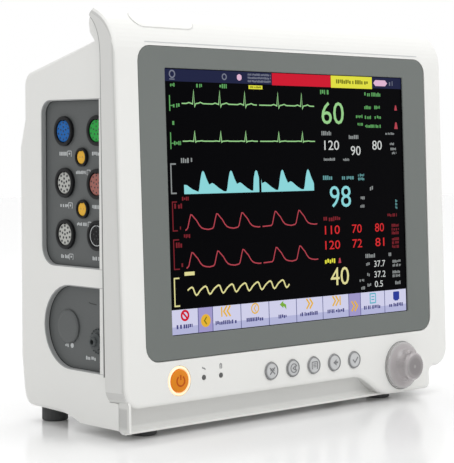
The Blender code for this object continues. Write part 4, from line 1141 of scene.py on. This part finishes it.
def dress_screws():
    for index, (x, z) in enumerate(((-146.0, 60.0), (146.0, 60.0), (-146.0, 232.0), (146.0, 232.0)), 1):
        wall = BACK_Y if z < 200.0 else UPPER_BACK_Y
        bm = bmesh.new()
        lathe(bm, on_back, [(radius, wall + along) for radius, along in SCREW_HEAD], 28, (x, z))
        piece = make(f"case_screw_head_{index}", bm, STEEL)
        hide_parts(f"case_screw_{index}")
        # A dark cross on the head: painted shade of the screw's recess
        bm = bmesh.new()
        for half_w, half_h in ((2.2, 0.42), (0.42, 2.2)):
            cross = rectangle(x - half_w, x + half_w, z - half_h, z + half_h)
            prism(bm, on_back, cross, wall + 1.6, wall + 2.34)
        make(f"case_screw_cross_{index}", bm, HOLE_SHADE_DARK)


def dress_ports():
    bm = bmesh.new()
    for dx, dz in ((-7.0, -2.0), (7.0, -2.0), (0.0, 3.0)):
        x, z = INLET_AT[0] + dx, INLET_AT[1] + dz
        on_wall(bm, x - 1.0, x + 1.0, z - 2.0, z + 2.0, -15.1, -2.0)
    make("mains_inlet_blades", bm, STEEL)
    bm = bmesh.new()
    for z in (PORTS_Z - 4.4, PORTS_Z + 4.4):
        on_wall(bm, -24.0, -12.0, z - 0.3, z + 1.1, -11.1, -1.0)
    on_wall(bm, 8.0, 16.0, 67.7, 69.1, -13.1, -2.0)
    make("port_tongues", bm, BLACK)
    bm = bmesh.new()
    for k in range(8):
        x = 8.6 + 0.97 * k
        on_wall(bm, x - 0.22, x + 0.22, 69.1, 69.5, -12.0, -2.4)
    make("network_contacts", bm, GOLD)
    # Dark discs: painted shade of the video port's pin holes
    bm = bmesh.new()
    pin = [(0, BACK_Y + 5.0), (0.5, BACK_Y + 5.0), (0.5, BACK_Y + 5.68), (0, BACK_Y + 5.68)]
    for row, shift in ((-1, 0.0), (0, 0.6), (1, 0.0)):
        for k in range(-2, 3):
            lathe(bm, on_back, pin, 10, (VIDEO_X + k * 2.5 + shift, PORTS_Z + row * 2.3))
    make("video_hole_shade", bm, HOLE_SHADE_DARK)
    bm = bmesh.new()
    for x in (VIDEO_X - 12.4, VIDEO_X + 12.4):
        prism(bm, on_back, circle(x, PORTS_Z, 2.4, 6), BACK_Y + 1.1, BACK_Y + 4.6)
    make("video_nuts", bm, BRASS)


def dress_port_labels():
    """A row of blank marks under each port and an earth sign under the post."""
    bm = bmesh.new()
    for k, (x0, x1, low) in enumerate((
        (-126.0, -100.0, 51.0), (-76.0, -65.0, 54.0), (-24.0, -12.0, 54.0), (6.0, 18.0, 54.0),
        (44.0, 60.0, 54.0),
    )):
        greeked(bm, on_back, x1, x0, low, low + 2.6, *BACK_SKIN, 800 + k)
    ring_shape(bm, on_back, EARTH_X, 62.0, 2.6, 2.1, *BACK_SKIN)
    for half, z0, z1 in ((1.6, 61.9, 62.3), (1.1, 61.1, 61.5), (0.6, 60.3, 60.7), (0.2, 61.9, 63.8)):
        prism(bm, on_back, rectangle(EARTH_X - half, EARTH_X + half, z0, z1), *BACK_SKIN)
    make("port_labels", bm, PRINT_AND_SHADOW_GREY)


def dress_rating_plate():
    bm = bmesh.new()
    outline = rounded(-102.0, 150.0, 36.0, 24.0, 2.5, 4)
    inner = rounded(-102.0, 150.0, 35.8, 23.8, 2.4, 4)
    pillow(bm, on_back, outline, inner, BACK_Y - 0.05, BACK_Y + 0.2)
    make("rating_plate", bm, KEY)
    bm = bmesh.new()
    for row, reach in enumerate((62.0, 48.0, 55.0, 38.0, 58.0, 30.0, 44.0)):
        z = 168.0 - 5.6 * row
        greeked(bm, on_back, -70.0, -70.0 - reach, z - 2.2, z, BACK_Y + 0.18, BACK_Y + 0.26, 900 + row)
    make("rating_plate_print", bm, PRINT_AND_SHADOW_GREY)


DOOR_SKIN = (165.2, 165.4)


def dress_door():
    """Finger ribs and an arrow on the battery door's free edge."""
    bm = bmesh.new()
    for k in range(5):
        y = 36.0 + 2.6 * k
        outline = rounded(y, 69.0, 0.6, 15.0, 0.55, 3)
        inner = rounded(y, 69.0, 0.35, 14.7, 0.3, 3)
        pillow(bm, on_side, outline, inner, 165.1, 165.95, 0.6)
    make("door_grip", bm, WHITE, "battery_door")
    bm = bmesh.new()
    prism(bm, on_side, [(54.0, 69.0), (58.0, 72.0), (58.0, 66.0)], *DOOR_SKIN)
    for y0, y1, z, seed in ((74.0, 90.0, 82.0, 156), (70.0, 90.0, 77.0, 147)):
        greeked(bm, on_side, y0, y1, z, z + 2.4, *DOOR_SKIN, seed)
    make("door_marks", bm, PRINT_AND_SHADOW_GREY, "battery_door")


dress_screws()
dress_ports()
dress_port_labels()
dress_rating_plate()
dress_door()


# ---- inside

BOARD_FACE = 31.6


def dress_board():
    """Chips, coils and connectors on the main board."""
    draw = random.Random(5)
    bm = bmesh.new()
    for column in range(9):
        for row in range(5):
            x = -84.0 + 24.0 * column + draw.uniform(-3.0, 3.0)
            z = 118.0 + 22.0 * row + draw.uniform(-3.0, 3.0)
            half = draw.uniform(3.0, 8.0)
            tall = draw.uniform(1.0, 3.6)
            outline = rounded(x, z, half, half * draw.uniform(0.5, 1.0), 0.5, 2)
            prism(bm, on_back, outline, BOARD_FACE - 0.1, BOARD_FACE + tall)
    make("main_board_chips", bm, BLACK)


dress_board()


# ---- floor, light and camera

FLOOR = finish(
    "floor_look", (247, 247, 247), 0.16, blotch=0.006, grain=3.0, dent=0.0, round_edge=0.0,
    specular=0.45, spread=0.03,
)
bm = bmesh.new()
prism(bm, lambda x, y, z: Vector((x, y, z)), rounded(0.0, 0.0, 4.0, 4.0, 0.5, 8), -0.02, 0.0)
bmesh.ops.recalc_face_normals(bm, faces=bm.faces[:])
floor_mesh = bpy.data.meshes.new("floor")
bm.to_mesh(floor_mesh)
bm.free()
floor_mesh.materials.append(FLOOR)
floor = bpy.data.objects.new("floor", floor_mesh)
bpy.context.scene.collection.objects.link(floor)


def add_area(name, at, towards, size, power):
    data = bpy.data.lights.new(name, "AREA")
    data.shape = "RECTANGLE"
    data.size, data.size_y = size
    data.energy = power
    lamp = bpy.data.objects.new(name, data)
    bpy.context.scene.collection.objects.link(lamp)
    lamp.location = at
    lamp.rotation_euler = (Vector(towards) - Vector(at)).to_track_quat("-Z", "Y").to_euler()


add_area("key_light", (0.9, -1.7, 1.6), (0.0, 0.0, 0.15), (1.2, 1.2), 6.9)
add_area("top_light", (-0.1, 0.1, 1.9), (0.0, 0.0, 0.2), (1.6, 1.2), 11.5)

# The studio is a little darker on the left, and it does not change with the camera
world = bpy.data.worlds.new("studio")
bpy.context.scene.world = world
world.use_nodes = True
tree = world.node_tree
background = tree.nodes["Background"]
background.inputs["Color"].default_value = (1.0, 1.0, 1.0, 1.0)
direction = add_node(tree, "ShaderNodeTexCoord")
split = add_node(tree, "ShaderNodeSeparateXYZ")
side_ramp = add_node(tree, "ShaderNodeMapRange", {
    "From Min": -0.9, "From Max": 0.35, "To Min": 0.74, "To Max": 1.0,
})
tree.links.new(direction.outputs["Generated"], split.inputs["Vector"])
tree.links.new(split.outputs["X"], side_ramp.inputs["Value"])
tree.links.new(side_ramp.outputs["Result"], background.inputs["Strength"])

camera_data = bpy.data.cameras.new("camera")
camera_data.lens = CAMERA_LENS
camera_data.sensor_width = 36.0
camera = bpy.data.objects.new("camera", camera_data)
bpy.context.scene.collection.objects.link(camera)
camera.location = CAMERA_AT
forward = Vector((
    sin(CAMERA_YAW) * cos(CAMERA_DOWN),
    cos(CAMERA_YAW) * cos(CAMERA_DOWN),
    -sin(CAMERA_DOWN),
))
camera.rotation_euler = forward.to_track_quat("-Z", "Y").to_euler()
bpy.context.scene.camera = camera
bpy.context.scene.view_settings.view_transform = "Standard"
